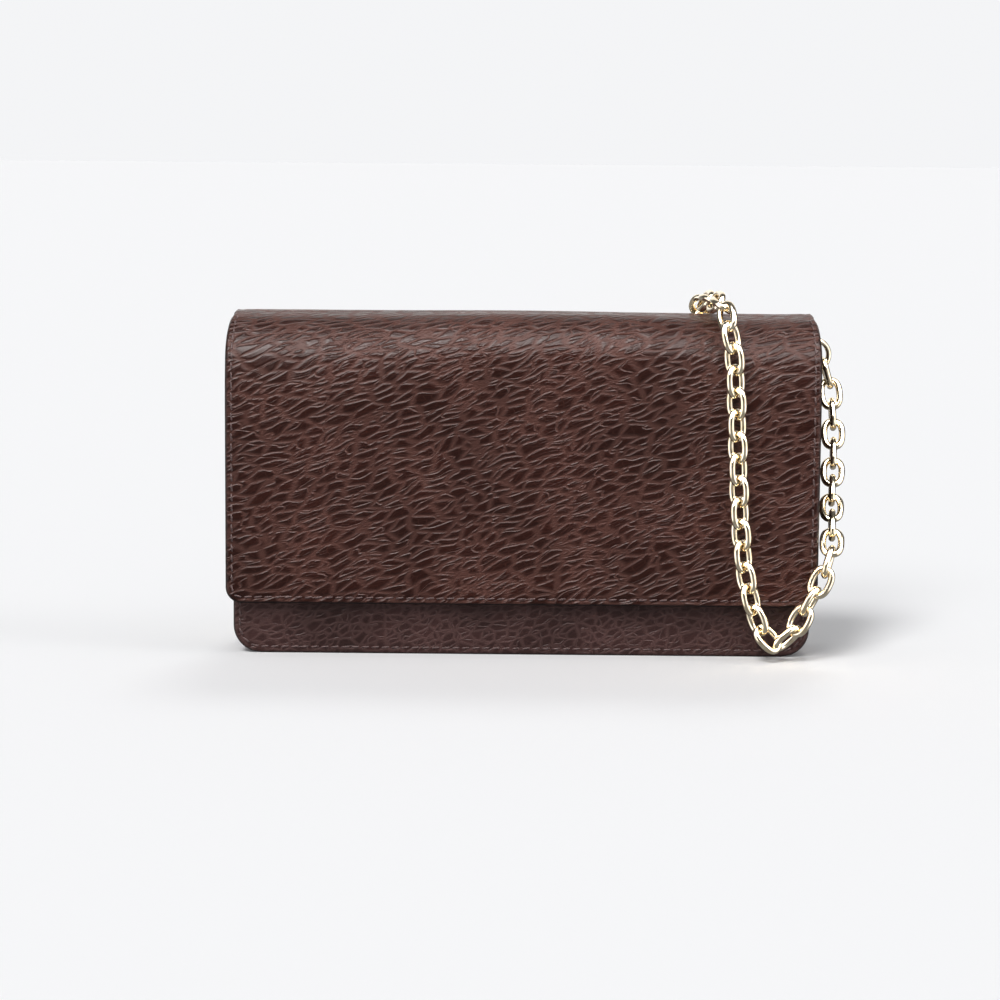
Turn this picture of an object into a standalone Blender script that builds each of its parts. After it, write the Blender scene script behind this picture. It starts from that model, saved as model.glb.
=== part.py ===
"""Chain wallet: a flap wallet on a metal chain, built as an assembly of separate solids.

Metres, +Z up. The wallet stands on its base strip, and the origin is the middle of that strip's
underside. The flap's face looks to -Y, and +X is to the right of someone who faces it. Sizes are
written in millimetres and turned into metres where the meshes are made.
"""

import math

import bmesh
import bpy
from mathutils import Matrix, Vector

MM = 0.001

# --- overall sizes -----------------------------------------------------------------------------
PANEL_WIDTH = 186.0
FLAP_WIDTH = 190.0
TOP_HEIGHT = 110.0
HEM_HEIGHT = 17.0
PANEL_CORNER = 9.0
FLAP_CORNER = 5.0
BACK_FOLD_RADIUS = 8.0
FRONT_FOLD_RADIUS = 14.0

# --- sheet thicknesses and the clearance between neighbours ------------------------------------
LEATHER = 1.4
BOARD = 0.8
LINING = 0.6
SLOT_LEATHER = 0.7
WALL_LEATHER = 1.0
CLEARANCE = 0.3
CORNER_ROUNDING = 0.3
HIDDEN_SETBACK = 4.0
LINING_SETBACK = 2.0

# --- inside ------------------------------------------------------------------------------------
COMPARTMENT_DEPTH = 5.6
POCKET_CAVITY = 4.0
POCKET_WIDTH = PANEL_WIDTH - 18.0
POCKET_TOP = TOP_HEIGHT - 26.0
POCKET_CORNER = 4.0
TIER_COUNT = 4
TIER_TOP = TOP_HEIGHT - 16.0
TIER_STEP = 12.0
FRONT_PANEL_TOP = TOP_HEIGHT - 11.0
LINING_TOP = TOP_HEIGHT - 11.0
BOARD_TOP = TOP_HEIGHT - 20.0
GUSSET_TOP = TOP_HEIGHT - 13.0
GUSSET_FOLD_DEPTH = 8.0

# --- press stud --------------------------------------------------------------------------------
SNAP_HEIGHT = 34.0
SNAP_STAND_OFF = 2.0
SNAP_DISC_RADIUS = 6.0
SNAP_KNOB_RADIUS = 2.1
SNAP_SHANK_RADIUS = 1.0
SNAP_SHANK_HOLE = 1.3
SNAP_FLANGE = 0.4
SNAP_CHAMFER = 0.4

# --- zip ---------------------------------------------------------------------------------------
ZIP_TAPE = 0.5
ZIP_TAPE_GAP = 0.8
ZIP_STOP_LENGTH = 1.8
ZIP_STOP_HALF_WIDTH = 1.5
ZIP_END_MARGIN = 4.0
ZIP_TEETH_WIDTH = 1.3
ZIP_TEETH_HEIGHT = 1.2
SLIDER_LENGTH = 10.0
SLIDER_PLATE = 1.3
SLIDER_WALL = 1.2
SLIDER_CHAMFER = 0.6
ARCH_INNER = 1.2
ARCH_OUTER = 2.6
ARCH_WIDTH = 1.4
PULL_LENGTH = 14.0
PULL_WIDTH = 5.0
PULL_THICKNESS = 1.2
PULL_BAR = 0.7
PULL_PLAY = 0.4
PULL_ROUNDING = 1.2
PULL_HOLE_END = 2.4

# --- rings that hold the chain -----------------------------------------------------------------
RING_WIRE_RADIUS = 0.9
RING_BAR_HEIGHT = 12.0
RING_REACH = 6.5
RING_MIDDLE_HEIGHT = TOP_HEIGHT - 14.0
RING_TURN_LEFT = 95.0
RING_TURN_RIGHT = 20.0
TAB_STRIP = 0.9
TAB_WIDTH = 6.0
TAB_LEATHER = 0.6
TAB_INSET = 7.0

# --- chain strap -------------------------------------------------------------------------------
CHAIN_WIDTH = 6.2
HANK_HALF_RUN = 56.0
HANK_RUNS = 5
HANK_SPACING = 8.0
HANK_OFFSET = 13.0

# --- how finely curves are drawn ---------------------------------------------------------------
CORNER_STEPS = 6
FOLD_STEPS = 5
ROUND_STEPS = 24
TURNED_STEPS = 32
RING_STEPS = 14
HANK_STEPS = 10
TRIM_MARGIN = 20.0

# --- places that follow from the sizes ---------------------------------------------------------
FLAT_STACK = LEATHER + BOARD + LINING + 2 * CLEARANCE
TIER_PITCH = SLOT_LEATHER + CLEARANCE
POCKET_HALF = POCKET_CAVITY / 2 + WALL_LEATHER
INNER_FACE = POCKET_HALF + COMPARTMENT_DEPTH
TIER_FACE = INNER_FACE + TIER_COUNT * TIER_PITCH
BACK_FACE = TIER_FACE + FLAT_STACK
FRONT_FACE = -(INNER_FACE + FLAT_STACK)
FLAP_FACE = FRONT_FACE - SNAP_STAND_OFF - FLAT_STACK
BACK_FOLD_CENTRE = (BACK_FACE - BACK_FOLD_RADIUS, TOP_HEIGHT - BACK_FOLD_RADIUS)
FRONT_FOLD_CENTRE = (FLAP_FACE + FRONT_FOLD_RADIUS, TOP_HEIGHT - FRONT_FOLD_RADIUS)
PANEL_HALF = PANEL_WIDTH / 2
ZIP_BASE = POCKET_TOP + CLEARANCE
ZIP_TEETH_BASE = ZIP_BASE + ZIP_TAPE + CLEARANCE
ZIP_TEETH_TOP = ZIP_TEETH_BASE + ZIP_TEETH_HEIGHT
ZIP_HALF_LENGTH = POCKET_WIDTH / 2 - ZIP_END_MARGIN
SLIDER_TOP = ZIP_TEETH_TOP + CLEARANCE + SLIDER_PLATE
PULL_AXIS_HEIGHT = SLIDER_TOP + PULL_THICKNESS / 2 + PULL_PLAY
SLIDER_PLACE = ZIP_HALF_LENGTH - SLIDER_LENGTH / 2 - 1.0
TAB_LOOP_INNER = RING_WIRE_RADIUS + CLEARANCE
TAB_LOOP_OUTER = TAB_LOOP_INNER + TAB_LEATHER
TAB_FACE = BACK_FACE - LEATHER - CLEARANCE
RING_BAR_X = PANEL_HALF + CLEARANCE + TAB_LOOP_OUTER
RING_BAR_Y = TAB_FACE - TAB_STRIP / 2
CHAIN_RADIUS = CHAIN_WIDTH / 2
CHAIN_OFF = CHAIN_RADIUS + CLEARANCE
CHAIN_FRONT = FLAP_FACE - CHAIN_OFF
CHAIN_BACK = BACK_FACE + CHAIN_OFF
CHAIN_OVER = TOP_HEIGHT + CHAIN_OFF
CHAIN_FLOOR = CHAIN_RADIUS + CLEARANCE / 3
HANK_START = BACK_FACE + HANK_OFFSET
HANK_END = HANK_START + (HANK_RUNS - 1) * HANK_SPACING

# The chain's routes are written for a flap 190 wide and 110 high, and stretch with the wallet.
WIDE = max(FLAP_WIDTH, PANEL_WIDTH + 4.0) / 190.0
TALL = TOP_HEIGHT / 110.0

# The chain's visible loop, from the right ring round to the floor behind the case: hangs beside
# the case, turns up in front of it, climbs the flap, crosses the top and drops behind.
CHAIN_LOOP_ROUTE = [
    (100.2 * WIDE, 17.6, RING_MIDDLE_HEIGHT - 6.6),
    (101.2 * WIDE, 16.2, 84.0 * TALL),
    (101.8 * WIDE, 12.8, 75.0 * TALL),
    (101.6 * WIDE, 7.2, 65.0 * TALL),
    (100.8 * WIDE, 0.8, 56.0 * TALL),
    (100.0 * WIDE, -6.0, 48.4 * TALL),
    (99.6 * WIDE, -12.2, 42.0 * TALL),
    (98.9 * WIDE, -17.8, 36.0 * TALL),
    (97.0 * WIDE, CHAIN_FRONT + 0.2, 30.0 * TALL),
    (94.6 * WIDE, CHAIN_FRONT - 0.7, 24.4 * TALL),
    (91.4 * WIDE, CHAIN_FRONT - 0.8, 18.4 * TALL),
    (87.9 * WIDE, CHAIN_FRONT - 0.9, 11.8 * TALL),
    (84.2 * WIDE, CHAIN_FRONT - 0.9, 7.4),
    (80.4 * WIDE, CHAIN_FRONT - 0.9, 6.6),
    (77.2 * WIDE, CHAIN_FRONT - 0.8, 9.8 * TALL),
    (75.0 * WIDE, CHAIN_FRONT - 0.7, 14.6 * TALL),
    (72.8 * WIDE, CHAIN_FRONT - 0.4, 22.0 * TALL),
    (70.8 * WIDE, CHAIN_FRONT, 32.0 * TALL),
    (69.4 * WIDE, CHAIN_FRONT, 46.0 * TALL),
    (68.4 * WIDE, CHAIN_FRONT, 64.0 * TALL),
    (67.6 * WIDE, CHAIN_FRONT, 82.0 * TALL),
    (66.6 * WIDE, CHAIN_FRONT, 97.0 * TALL),
    (65.0 * WIDE, CHAIN_FRONT + 1.0, TOP_HEIGHT - 3.6),
    (62.8 * WIDE, CHAIN_FRONT + 5.6, TOP_HEIGHT + 2.4),
    (60.0 * WIDE, CHAIN_FRONT + 13.6, CHAIN_OVER + 0.6),
    (57.0 * WIDE, 2.0, CHAIN_OVER + 0.5),
    (54.4 * WIDE, 12.0, CHAIN_OVER - 0.2),
    (53.2 * WIDE, CHAIN_BACK - 1.6, TOP_HEIGHT - 1.4),
    (53.2 * WIDE, CHAIN_BACK + 0.2, TOP_HEIGHT - 9.0),
    (54.2 * WIDE, CHAIN_BACK + 0.2, 84.0 * TALL),
    (56.4 * WIDE, CHAIN_BACK + 0.2, 62.0 * TALL),
    (59.8 * WIDE, CHAIN_BACK + 0.2, 42.0 * TALL),
    (64.4 * WIDE, CHAIN_BACK + 0.5, 26.0 * TALL),
    (69.8 * WIDE, CHAIN_BACK + 1.8, 13.6 * TALL),
    (74.6 * WIDE, CHAIN_BACK + 4.6, 6.2),
    (75.4 * WIDE, CHAIN_BACK + 8.0, CHAIN_FLOOR),
    (71.2 * WIDE, HANK_START + 0.6, CHAIN_FLOOR),
    (66.2 * WIDE, HANK_START + 0.2, CHAIN_FLOOR),
    (61.6 * WIDE, HANK_START, CHAIN_FLOOR),
]

# The chain's other end: from the hank's last run along the floor and up to the left ring.
CHAIN_TAIL_ROUTE = [
    (-61.6 * WIDE, HANK_END, CHAIN_FLOOR),
    (-66.6 * WIDE, HANK_END - 1.6, CHAIN_FLOOR),
    (-71.2 * WIDE, HANK_END - 6.0, CHAIN_FLOOR),
    (-75.0 * WIDE, 48.2, CHAIN_FLOOR),
    (-78.8 * WIDE, 40.6, CHAIN_FLOOR),
    (-82.4 * WIDE, 33.0, CHAIN_FLOOR + 0.3),
    (-85.4 * WIDE, 26.8, 7.0),
    (-87.4 * WIDE, 22.6, 13.6 * TALL),
    (-88.8 * WIDE, 20.8, 23.0 * TALL),
    (-89.8 * WIDE, CHAIN_BACK + 0.2, 38.0 * TALL),
    (-90.6 * WIDE, CHAIN_BACK + 0.2, 56.0 * TALL),
    (-91.8 * WIDE, CHAIN_BACK + 0.3, 73.0 * TALL),
    (-93.2 * WIDE, CHAIN_BACK + 0.5, 83.0 * TALL),
    (-94.4 * WIDE, CHAIN_BACK + 0.7, RING_MIDDLE_HEIGHT - 6.6),
]
CHAIN_POINTS_PER_SPAN = 2

COLOURS = {
    "outer_leather": ((0.060, 0.028, 0.022), 0.42, 0.0),
    "inner_leather": ((0.050, 0.023, 0.018), 0.55, 0.0),
    "board": ((0.20, 0.16, 0.12), 0.9, 0.0),
    "fabric": ((0.035, 0.018, 0.015), 0.85, 0.0),
    "light_gold": ((0.86, 0.74, 0.52), 0.18, 1.0),
}


def clear_scene():
    """Removes every object of the startup scene."""
    for obj in list(bpy.data.objects):
        bpy.data.objects.remove(obj)


def material(name):
    """The Principled material of that name, made once."""
    found = bpy.data.materials.get(name)
    if found:
        return found
    colour, roughness, metallic = COLOURS[name]
    made = bpy.data.materials.new(name)
    made.use_nodes = True
    shader = made.node_tree.nodes["Principled BSDF"]
    shader.inputs["Base Color"].default_value = (*colour, 1.0)
    shader.inputs["Roughness"].default_value = roughness
    shader.inputs["Metallic"].default_value = metallic
    return made


def collection(name):
    """The scene's collection of that name, made once."""
    found = bpy.data.collections.get(name)
    if not found:
        found = bpy.data.collections.new(name)
        bpy.context.scene.collection.children.link(found)
    return found


def add(name, data, finish, helper=False):
    """Links a new object that shows data, as a part of the wallet or as a hidden cutter."""
    obj = bpy.data.objects.new(name, data)
    collection("cutters" if helper else "chain_wallet").objects.link(obj)
    if helper:
        obj.hide_render = True
        obj.display_type = "WIRE"
    else:
        data.materials.append(material(finish))
    return obj


# --- shapes ------------------------------------------------------------------------------------


def arc(centre, radius, start, end, steps=CORNER_STEPS):
    """Points of an arc about centre, from start to end in degrees."""
    turns = [math.radians(start + (end - start) * i / steps) for i in range(steps + 1)]
    return [(centre[0] + radius * math.cos(a), centre[1] + radius * math.sin(a)) for a in turns]


def panel_outline(half, bottom, top, corner):
    """A flat panel's outline in X and Z: square at the top, with round bottom corners."""
    right = arc((half - corner, bottom + corner), corner, -90, 0)
    left = arc((-half + corner, bottom + corner), corner, 180, 270)
    return left + right + [(half, top), (-half, top)]


def rounded_box(x0, x1, y0, y1, corner):
    """The outline of a rectangle with four round corners."""
    return (
        arc((x1 - corner, y0 + corner), corner, -90, 0, 4)
        + arc((x1 - corner, y1 - corner), corner, 0, 90, 4)
        + arc((x0 + corner, y1 - corner), corner, 90, 180, 4)
        + arc((x0 + corner, y0 + corner), corner, 180, 270, 4)
    )


def circle(x, y, radius, steps=ROUND_STEPS):
    """The outline of a round hole or disc."""
    return arc((x, y), radius, 0, 360, steps)[:-1]


PLANES = {
    "XZ": Matrix.Rotation(math.radians(90), 4, "X"),
    "YZ": Matrix.Rotation(math.radians(90), 4, "Z") @ Matrix.Rotation(math.radians(90), 4, "X"),
    "XY": Matrix.Identity(4),
}
ACROSS = {"XZ": 1, "YZ": 0, "XY": 2}


def extrude(name, plane, outlines, low, high, finish, helper=False):
    """A flat outline in a plane, with holes where more outlines are given, from low to high across it."""
    curve = bpy.data.curves.new(name, "CURVE")
    curve.dimensions = "2D"
    curve.fill_mode = "BOTH"
    curve.extrude = (high - low) / 2 * MM
    for outline in outlines:
        spline = curve.splines.new("POLY")
        spline.points.add(len(outline) - 1)
        spline.use_cyclic_u = True
        for point, (a, b) in zip(spline.points, outline, strict=True):
            point.co = (a * MM, b * MM, 0, 1)
    obj = add(name, curve, finish, helper)
    place = Vector((0, 0, 0))
    place[ACROSS[plane]] = (low + high) / 2 * MM
    obj.matrix_world = Matrix.Translation(place) @ PLANES[plane]
    return obj


def as_mesh(obj):
    """Turns a curve object into a mesh object, with its caps welded to its sides."""
    bpy.context.view_layer.update()
    graph = bpy.context.evaluated_depsgraph_get()
    mesh = bpy.data.meshes.new_from_object(obj.evaluated_get(graph))
    work = bmesh.new()
    work.from_mesh(mesh)
    bmesh.ops.remove_doubles(work, verts=work.verts, dist=1e-6)
    bmesh.ops.recalc_face_normals(work, faces=work.faces)
    work.to_mesh(mesh)
    work.free()
    name, world, home, helper = obj.name, obj.matrix_world.copy(), obj.users_collection[0], obj.hide_render
    data = obj.data
    bpy.data.objects.remove(obj)
    bpy.data.curves.remove(data)
    made = bpy.data.objects.new(name, mesh)
    home.objects.link(made)
    made.matrix_world = world
    made.hide_render = helper
    made.display_type = "WIRE" if helper else "TEXTURED"
    return made


def combine(obj, other, operation):
    """Cuts, joins or trims a mesh object with a helper mesh object."""
    modifier = obj.modifiers.new(operation.lower(), "BOOLEAN")
    modifier.operation = operation
    modifier.object = other
    return obj


def turned(name, profile, place, finish):
    """A turned piece whose axis points to -Y. The profile is (radius, height) down its outside."""
    mesh = bpy.data.meshes.new(name)
    points = [(radius * MM, 0, height * MM) for radius, height in profile]
    mesh.from_pydata(points, [(i, i + 1) for i in range(len(points) - 1)], [])
    obj = add(name, mesh, finish)
    screw = obj.modifiers.new("turn", "SCREW")
    screw.steps = screw.render_steps = TURNED_STEPS
    screw.use_merge_vertices = True
    screw.merge_threshold = 1e-5
    screw.use_smooth_shade = True
    obj.matrix_world = Matrix.Translation(Vector(place) * MM) @ PLANES["XZ"]
    return obj


def wire(name, points, radius, finish, closed=False, resolution=2):
    """A round bar along points, with filled caps unless it closes on itself."""
    curve = bpy.data.curves.new(name, "CURVE")
    curve.dimensions = "3D"
    curve.bevel_depth = radius * MM
    curve.bevel_resolution = resolution
    curve.use_fill_caps = not closed
    spline = curve.splines.new("POLY")
    spline.points.add(len(points) - 1)
    spline.use_cyclic_u = closed
    for point, place in zip(spline.points, points, strict=True):
        point.co = (*(Vector(place) * MM), 1)
    return add(name, curve, finish)


def smooth_route(route):
    """Points along a Catmull-Rom curve through the route's own points."""
    ends = [Vector(p) for p in route]
    ends = [2 * ends[0] - ends[1], *ends, 2 * ends[-1] - ends[-2]]
    points = []
    for i in range(1, len(ends) - 2):
        a, b, c, d = ends[i - 1 : i + 3]
        for step in range(CHAIN_POINTS_PER_SPAN):
            t = step / CHAIN_POINTS_PER_SPAN
            points.append(
                0.5
                * (
                    2 * b
                    + (c - a) * t
                    + (2 * a - 5 * b + 4 * c - d) * t**2
                    + (3 * b - a - 3 * c + d) * t**3
                )
            )
    return [*points, ends[-2]]


def hang(pieces, axis_name, place, parent=None):
    """Parents pieces to an empty that stands on their joint's axis, without moving them."""
    empty = bpy.data.objects.new(axis_name, None)
    empty.empty_display_size = 10 * MM
    collection("chain_wallet").objects.link(empty)
    empty.matrix_world = Matrix.Translation(Vector(place) * MM)
    if parent:
        seat(empty, parent)
    bpy.context.view_layer.update()
    for piece in pieces:
        seat(piece, empty)
    return empty


def seat(child, parent):
    """Makes one object the other's child where it stands."""
    bpy.context.view_layer.update()
    world = child.matrix_world.copy()
    child.parent = parent
    child.matrix_parent_inverse = parent.matrix_world.inverted()
    child.matrix_world = world


# --- the skin that wraps the case: up the back, over the top and down the front ------------------


def fold_share(radius):
    """Half the angle, in degrees, that two pieces leave open where they meet in a fold."""
    return math.degrees(CLEARANCE / radius) / 2


def back_fold(inset, start, end):
    """Points of the fold at the top of the back, 0 degrees at the back face and 90 at the top."""
    return arc(BACK_FOLD_CENTRE, BACK_FOLD_RADIUS - inset, start, end, FOLD_STEPS)


def front_fold(inset, start, end):
    """Points of the fold over the front edge, 0 degrees at the top and 90 at the flap's face."""
    return arc(FRONT_FOLD_CENTRE, FRONT_FOLD_RADIUS - inset, 90 + start, 90 + end, FOLD_STEPS)


def band(outer, inner):
    """A closed outline between an outer line and an inner one that run the same way."""
    return outer + inner[::-1]


def back_skin(depth, thickness, bottom):
    """The section of the back leather: flat, then the first half of the fold at the top."""
    half_gap = fold_share(BACK_FOLD_RADIUS)

    def line(inset):
        return [(BACK_FACE - inset, bottom)] + back_fold(inset, 0, 45 - half_gap)

    return band(line(depth), line(depth + thickness))


def top_skin(depth, thickness):
    """The section of a layer of the top strip, from the middle of one fold to that of the other."""
    back_gap, front_gap = fold_share(BACK_FOLD_RADIUS), fold_share(FRONT_FOLD_RADIUS)

    def line(inset):
        return back_fold(inset, 45 + back_gap, 90) + front_fold(inset, 0, 45 - front_gap)

    return band(line(depth), line(depth + thickness))


def front_skin(depth, thickness, bottom):
    """The section of a layer of the flap, from the middle of its fold down to below the hem."""
    half_gap = fold_share(FRONT_FOLD_RADIUS)

    def line(inset):
        return front_fold(inset, 45 + half_gap, 90) + [(FLAP_FACE + inset, bottom)]

    return band(line(depth), line(depth + thickness))


def trimmed_skin(name, section, half, bottom, corner, finish):
    """A skin across the wallet's width whose lower corners are round."""
    skin = as_mesh(extrude(name, "YZ", [section], -half - TRIM_MARGIN, half + TRIM_MARGIN, finish))
    outline = panel_outline(half, bottom, TOP_HEIGHT + TRIM_MARGIN, corner)
    near, far = FLAP_FACE - TRIM_MARGIN, BACK_FACE + TRIM_MARGIN
    trim = as_mesh(extrude(name + "_trim", "XZ", [outline], near, far, None, True))
    return combine(skin, trim, "INTERSECT")


def sheet(name, half, bottom, top, corner, low, high, finish, holes=()):
    """A flat sheet in X and Z between two depths, with round lower corners and any holes."""
    return extrude(name, "XZ", [panel_outline(half, bottom, top, corner), *holes], low, high, finish)


# --- the case ----------------------------------------------------------------------------------


def build_back():
    """The back: outer leather, stiffening board, lining and the staggered card slots."""
    section = back_skin(0, LEATHER, -TRIM_MARGIN)
    trimmed_skin("back_panel", section, PANEL_HALF, 0, PANEL_CORNER, "outer_leather")
    board_face = BACK_FACE - LEATHER - CLEARANCE
    board_half, board_corner = PANEL_HALF - HIDDEN_SETBACK, PANEL_CORNER - HIDDEN_SETBACK
    low = board_face - BOARD
    sheet("back_board", board_half, HIDDEN_SETBACK, BOARD_TOP, board_corner, low, board_face, "board")
    lining_face = TIER_FACE + LINING
    inset = LINING_SETBACK
    half, corner = PANEL_HALF - inset, PANEL_CORNER - inset
    sheet("back_lining", half, inset, LINING_TOP, corner, TIER_FACE, lining_face, "inner_leather")
    for i in range(TIER_COUNT):
        face = TIER_FACE - CLEARANCE - i * TIER_PITCH
        top = TIER_TOP - i * TIER_STEP
        sheet(f"card_slot_{i + 1}", half, inset, top, corner, face - SLOT_LEATHER, face, "inner_leather")


def build_front():
    """The front wall: outer leather, stiffening board and lining, with the press stud's post."""
    shank = circle(0, SNAP_HEIGHT, SNAP_SHANK_HOLE)
    disc = circle(0, SNAP_HEIGHT, SNAP_DISC_RADIUS + CLEARANCE)
    inner, top = FRONT_FACE + LEATHER, FRONT_PANEL_TOP
    sheet("front_panel", PANEL_HALF, 0, top, PANEL_CORNER, FRONT_FACE, inner, "outer_leather", [shank])
    board = inner + CLEARANCE
    half, corner = PANEL_HALF - HIDDEN_SETBACK, PANEL_CORNER - HIDDEN_SETBACK
    board_top = top - LINING_SETBACK
    sheet("front_board", half, HIDDEN_SETBACK, board_top, corner, board, board + BOARD, "board", [disc])
    lining = board + BOARD + CLEARANCE
    half, corner = PANEL_HALF - LINING_SETBACK, PANEL_CORNER - LINING_SETBACK
    sheet("front_lining", half, LINING_SETBACK, top, corner, lining, lining + LINING, "inner_leather")
    flange_top = FRONT_FACE - CLEARANCE
    knob_height = SNAP_STAND_OFF - 2 * CLEARANCE
    shank_length = LEATHER + 3 * CLEARANCE
    flange_radius = SNAP_DISC_RADIUS - SNAP_CHAMFER
    profile = [
        (0, knob_height),
        (SNAP_KNOB_RADIUS - SNAP_CHAMFER, knob_height),
        (SNAP_KNOB_RADIUS, knob_height - SNAP_CHAMFER),
        (SNAP_KNOB_RADIUS - SNAP_CHAMFER, SNAP_FLANGE),
        (flange_radius, SNAP_FLANGE),
        (flange_radius, 0),
        (SNAP_SHANK_RADIUS, 0),
        (SNAP_SHANK_RADIUS, -shank_length),
        (0, -shank_length),
    ]
    turned("snap_post", profile, (0, flange_top, SNAP_HEIGHT), "light_gold")
    ring = [circle(0, SNAP_HEIGHT, SNAP_DISC_RADIUS), circle(0, SNAP_HEIGHT, SNAP_SHANK_HOLE)]
    extrude("snap_washer", "XZ", ring, board, board + BOARD, "light_gold")


def build_flap():
    """The top strip and the flap, each of leather and lining, and the flap's half of the press stud."""
    half = FLAP_WIDTH / 2
    lining_depth = FLAT_STACK - LINING
    inset = 1.0
    top_leather = extrude("flap_top_leather", "YZ", [top_skin(0, LEATHER)], -half, half, "outer_leather")
    section = top_skin(lining_depth, LINING)
    top_lining = extrude("flap_top_lining", "YZ", [section], -half + inset, half - inset, "inner_leather")
    section = front_skin(0, LEATHER, 0)
    leather = trimmed_skin("flap_leather", section, half, HEM_HEIGHT, FLAP_CORNER, "outer_leather")
    section = front_skin(lining_depth, LINING, 0)
    low, corner = HEM_HEIGHT + inset, FLAP_CORNER - inset
    lining = trimmed_skin("flap_lining", section, half - inset, low, corner, "inner_leather")
    hole_outline = circle(0, SNAP_HEIGHT, SNAP_SHANK_HOLE + 1)
    hole = extrude("socket_hole", "XZ", [hole_outline], FLAP_FACE, FRONT_FACE, None, True)
    combine(lining, as_mesh(hole), "DIFFERENCE")
    board = FLAP_FACE + LEATHER + CLEARANCE
    disc = circle(0, SNAP_HEIGHT, SNAP_DISC_RADIUS + CLEARANCE)
    board_top = FRONT_FOLD_CENTRE[1] - LINING_SETBACK
    low, corner = HEM_HEIGHT + HIDDEN_SETBACK, FLAP_CORNER - HIDDEN_SETBACK
    board_half, board_back = half - HIDDEN_SETBACK, board + BOARD
    stiffener = sheet("flap_board", board_half, low, board_top, corner, board, board_back, "board", [disc])
    disc = circle(0, SNAP_HEIGHT, SNAP_DISC_RADIUS)
    cap = extrude("snap_cap", "XZ", [disc], board, board + BOARD, "light_gold")
    socket_height = SNAP_STAND_OFF - 3 * CLEARANCE - SNAP_FLANGE
    socket_base = FLAP_FACE + FLAT_STACK + CLEARANCE
    hole_radius = SNAP_KNOB_RADIUS + 2 * CLEARANCE
    socket_radius = SNAP_DISC_RADIUS - SNAP_CHAMFER
    profile = [
        (hole_radius, 0),
        (hole_radius, socket_height),
        (socket_radius - SNAP_CHAMFER, socket_height),
        (socket_radius, socket_height - SNAP_CHAMFER),
        (socket_radius, 0),
        (hole_radius, 0),
    ]
    place = Vector((0, socket_base, SNAP_HEIGHT))
    socket = turned("snap_socket", profile, place, "light_gold")
    socket.matrix_world = Matrix.Translation(place * MM) @ Matrix.Rotation(math.radians(-90), 4, "X")
    hinge = hang([top_leather, top_lining], "flap_hinge_axis", (0, BACK_FACE, TOP_HEIGHT))
    hang([leather, lining, stiffener, cap, socket], "flap_fold_axis", (0, FLAP_FACE, TOP_HEIGHT), hinge)


def gusset_side(name, side):
    """A side gusset: a strip that pleats inwards twice, and flattens round the lower corner."""
    sheet_mid = WALL_LEATHER / 2
    straight, bends, across = CORNER_STEPS, CORNER_STEPS, ROUND_STEPS
    radius = PANEL_CORNER - sheet_mid
    middle_x = PANEL_HALF - PANEL_CORNER
    stations = []
    for i in range(straight):
        height = GUSSET_TOP + (PANEL_CORNER - GUSSET_TOP) * i / straight
        stations.append((PANEL_HALF - sheet_mid, height, -1.0, 0.0, GUSSET_FOLD_DEPTH))
    for i in range(bends + 1):
        turn = math.radians(90 * i / bends)
        x, z = middle_x + radius * math.cos(turn), PANEL_CORNER - radius * math.sin(turn)
        depth = GUSSET_FOLD_DEPTH * (1 - i / bends) ** 2
        stations.append((x, z, -math.cos(turn), math.sin(turn), depth))
    reach = INNER_FACE - CLEARANCE
    points, faces = [], []
    for x, z, nx, nz, depth in stations:
        for j in range(across + 1):
            share = j / across
            fold = depth * math.sin(2 * math.pi * share) ** 2
            points.append(
                (side * (x + nx * fold) * MM, (reach - 2 * reach * share) * MM, (z + nz * fold) * MM)
            )
    row = across + 1
    for i in range(len(stations) - 1):
        for j in range(across):
            a = i * row + j
            faces.append((a, a + 1, a + row + 1, a + row))
    mesh = bpy.data.meshes.new(name)
    mesh.from_pydata(points, [], faces)
    obj = add(name, mesh, "inner_leather")
    thicken = obj.modifiers.new("thickness", "SOLIDIFY")
    thicken.thickness = WALL_LEATHER * MM
    thicken.offset = 0
    thicken.use_even_offset = True
    return obj


def build_gussets():
    """The pleated sides and the base strip that joins them."""
    gusset_side("gusset_left", -1)
    gusset_side("gusset_right", 1)
    half = PANEL_HALF - PANEL_CORNER - CLEARANCE
    low, high = FRONT_FACE + LEATHER + CLEARANCE, BACK_FACE - LEATHER - CLEARANCE
    base = rounded_box(-half, half, low, high, 1)
    extrude("gusset_base", "XY", [base], 0, WALL_LEATHER, "inner_leather")


# --- the zipped pocket -------------------------------------------------------------------------


def build_pocket():
    """The coin pocket in the middle: two walls, its ends and its bottom."""
    half = POCKET_WIDTH / 2
    cavity = POCKET_CAVITY / 2
    bottom = 2 * WALL_LEATHER
    for name, side in (("pocket_front", -1), ("pocket_back", 1)):
        low, high = sorted((side * cavity, side * POCKET_HALF))
        sheet(name, half, bottom, POCKET_TOP, POCKET_CORNER, low, high, "inner_leather")
    inside = cavity - CLEARANCE
    for name, side in (("pocket_end_left", -1), ("pocket_end_right", 1)):
        low, high = sorted((side * (half - 1), side * (half - 2)))
        outline = rounded_box(low, high, -inside, inside, CORNER_ROUNDING)
        extrude(name, "XY", [outline], bottom + POCKET_CORNER + 2, POCKET_TOP - 1, "fabric")
    end = half - POCKET_CORNER - 2
    outline = rounded_box(-end, end, -inside, inside, CORNER_ROUNDING)
    extrude("pocket_bottom", "XY", [outline], bottom, bottom + 1, "fabric")


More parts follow.
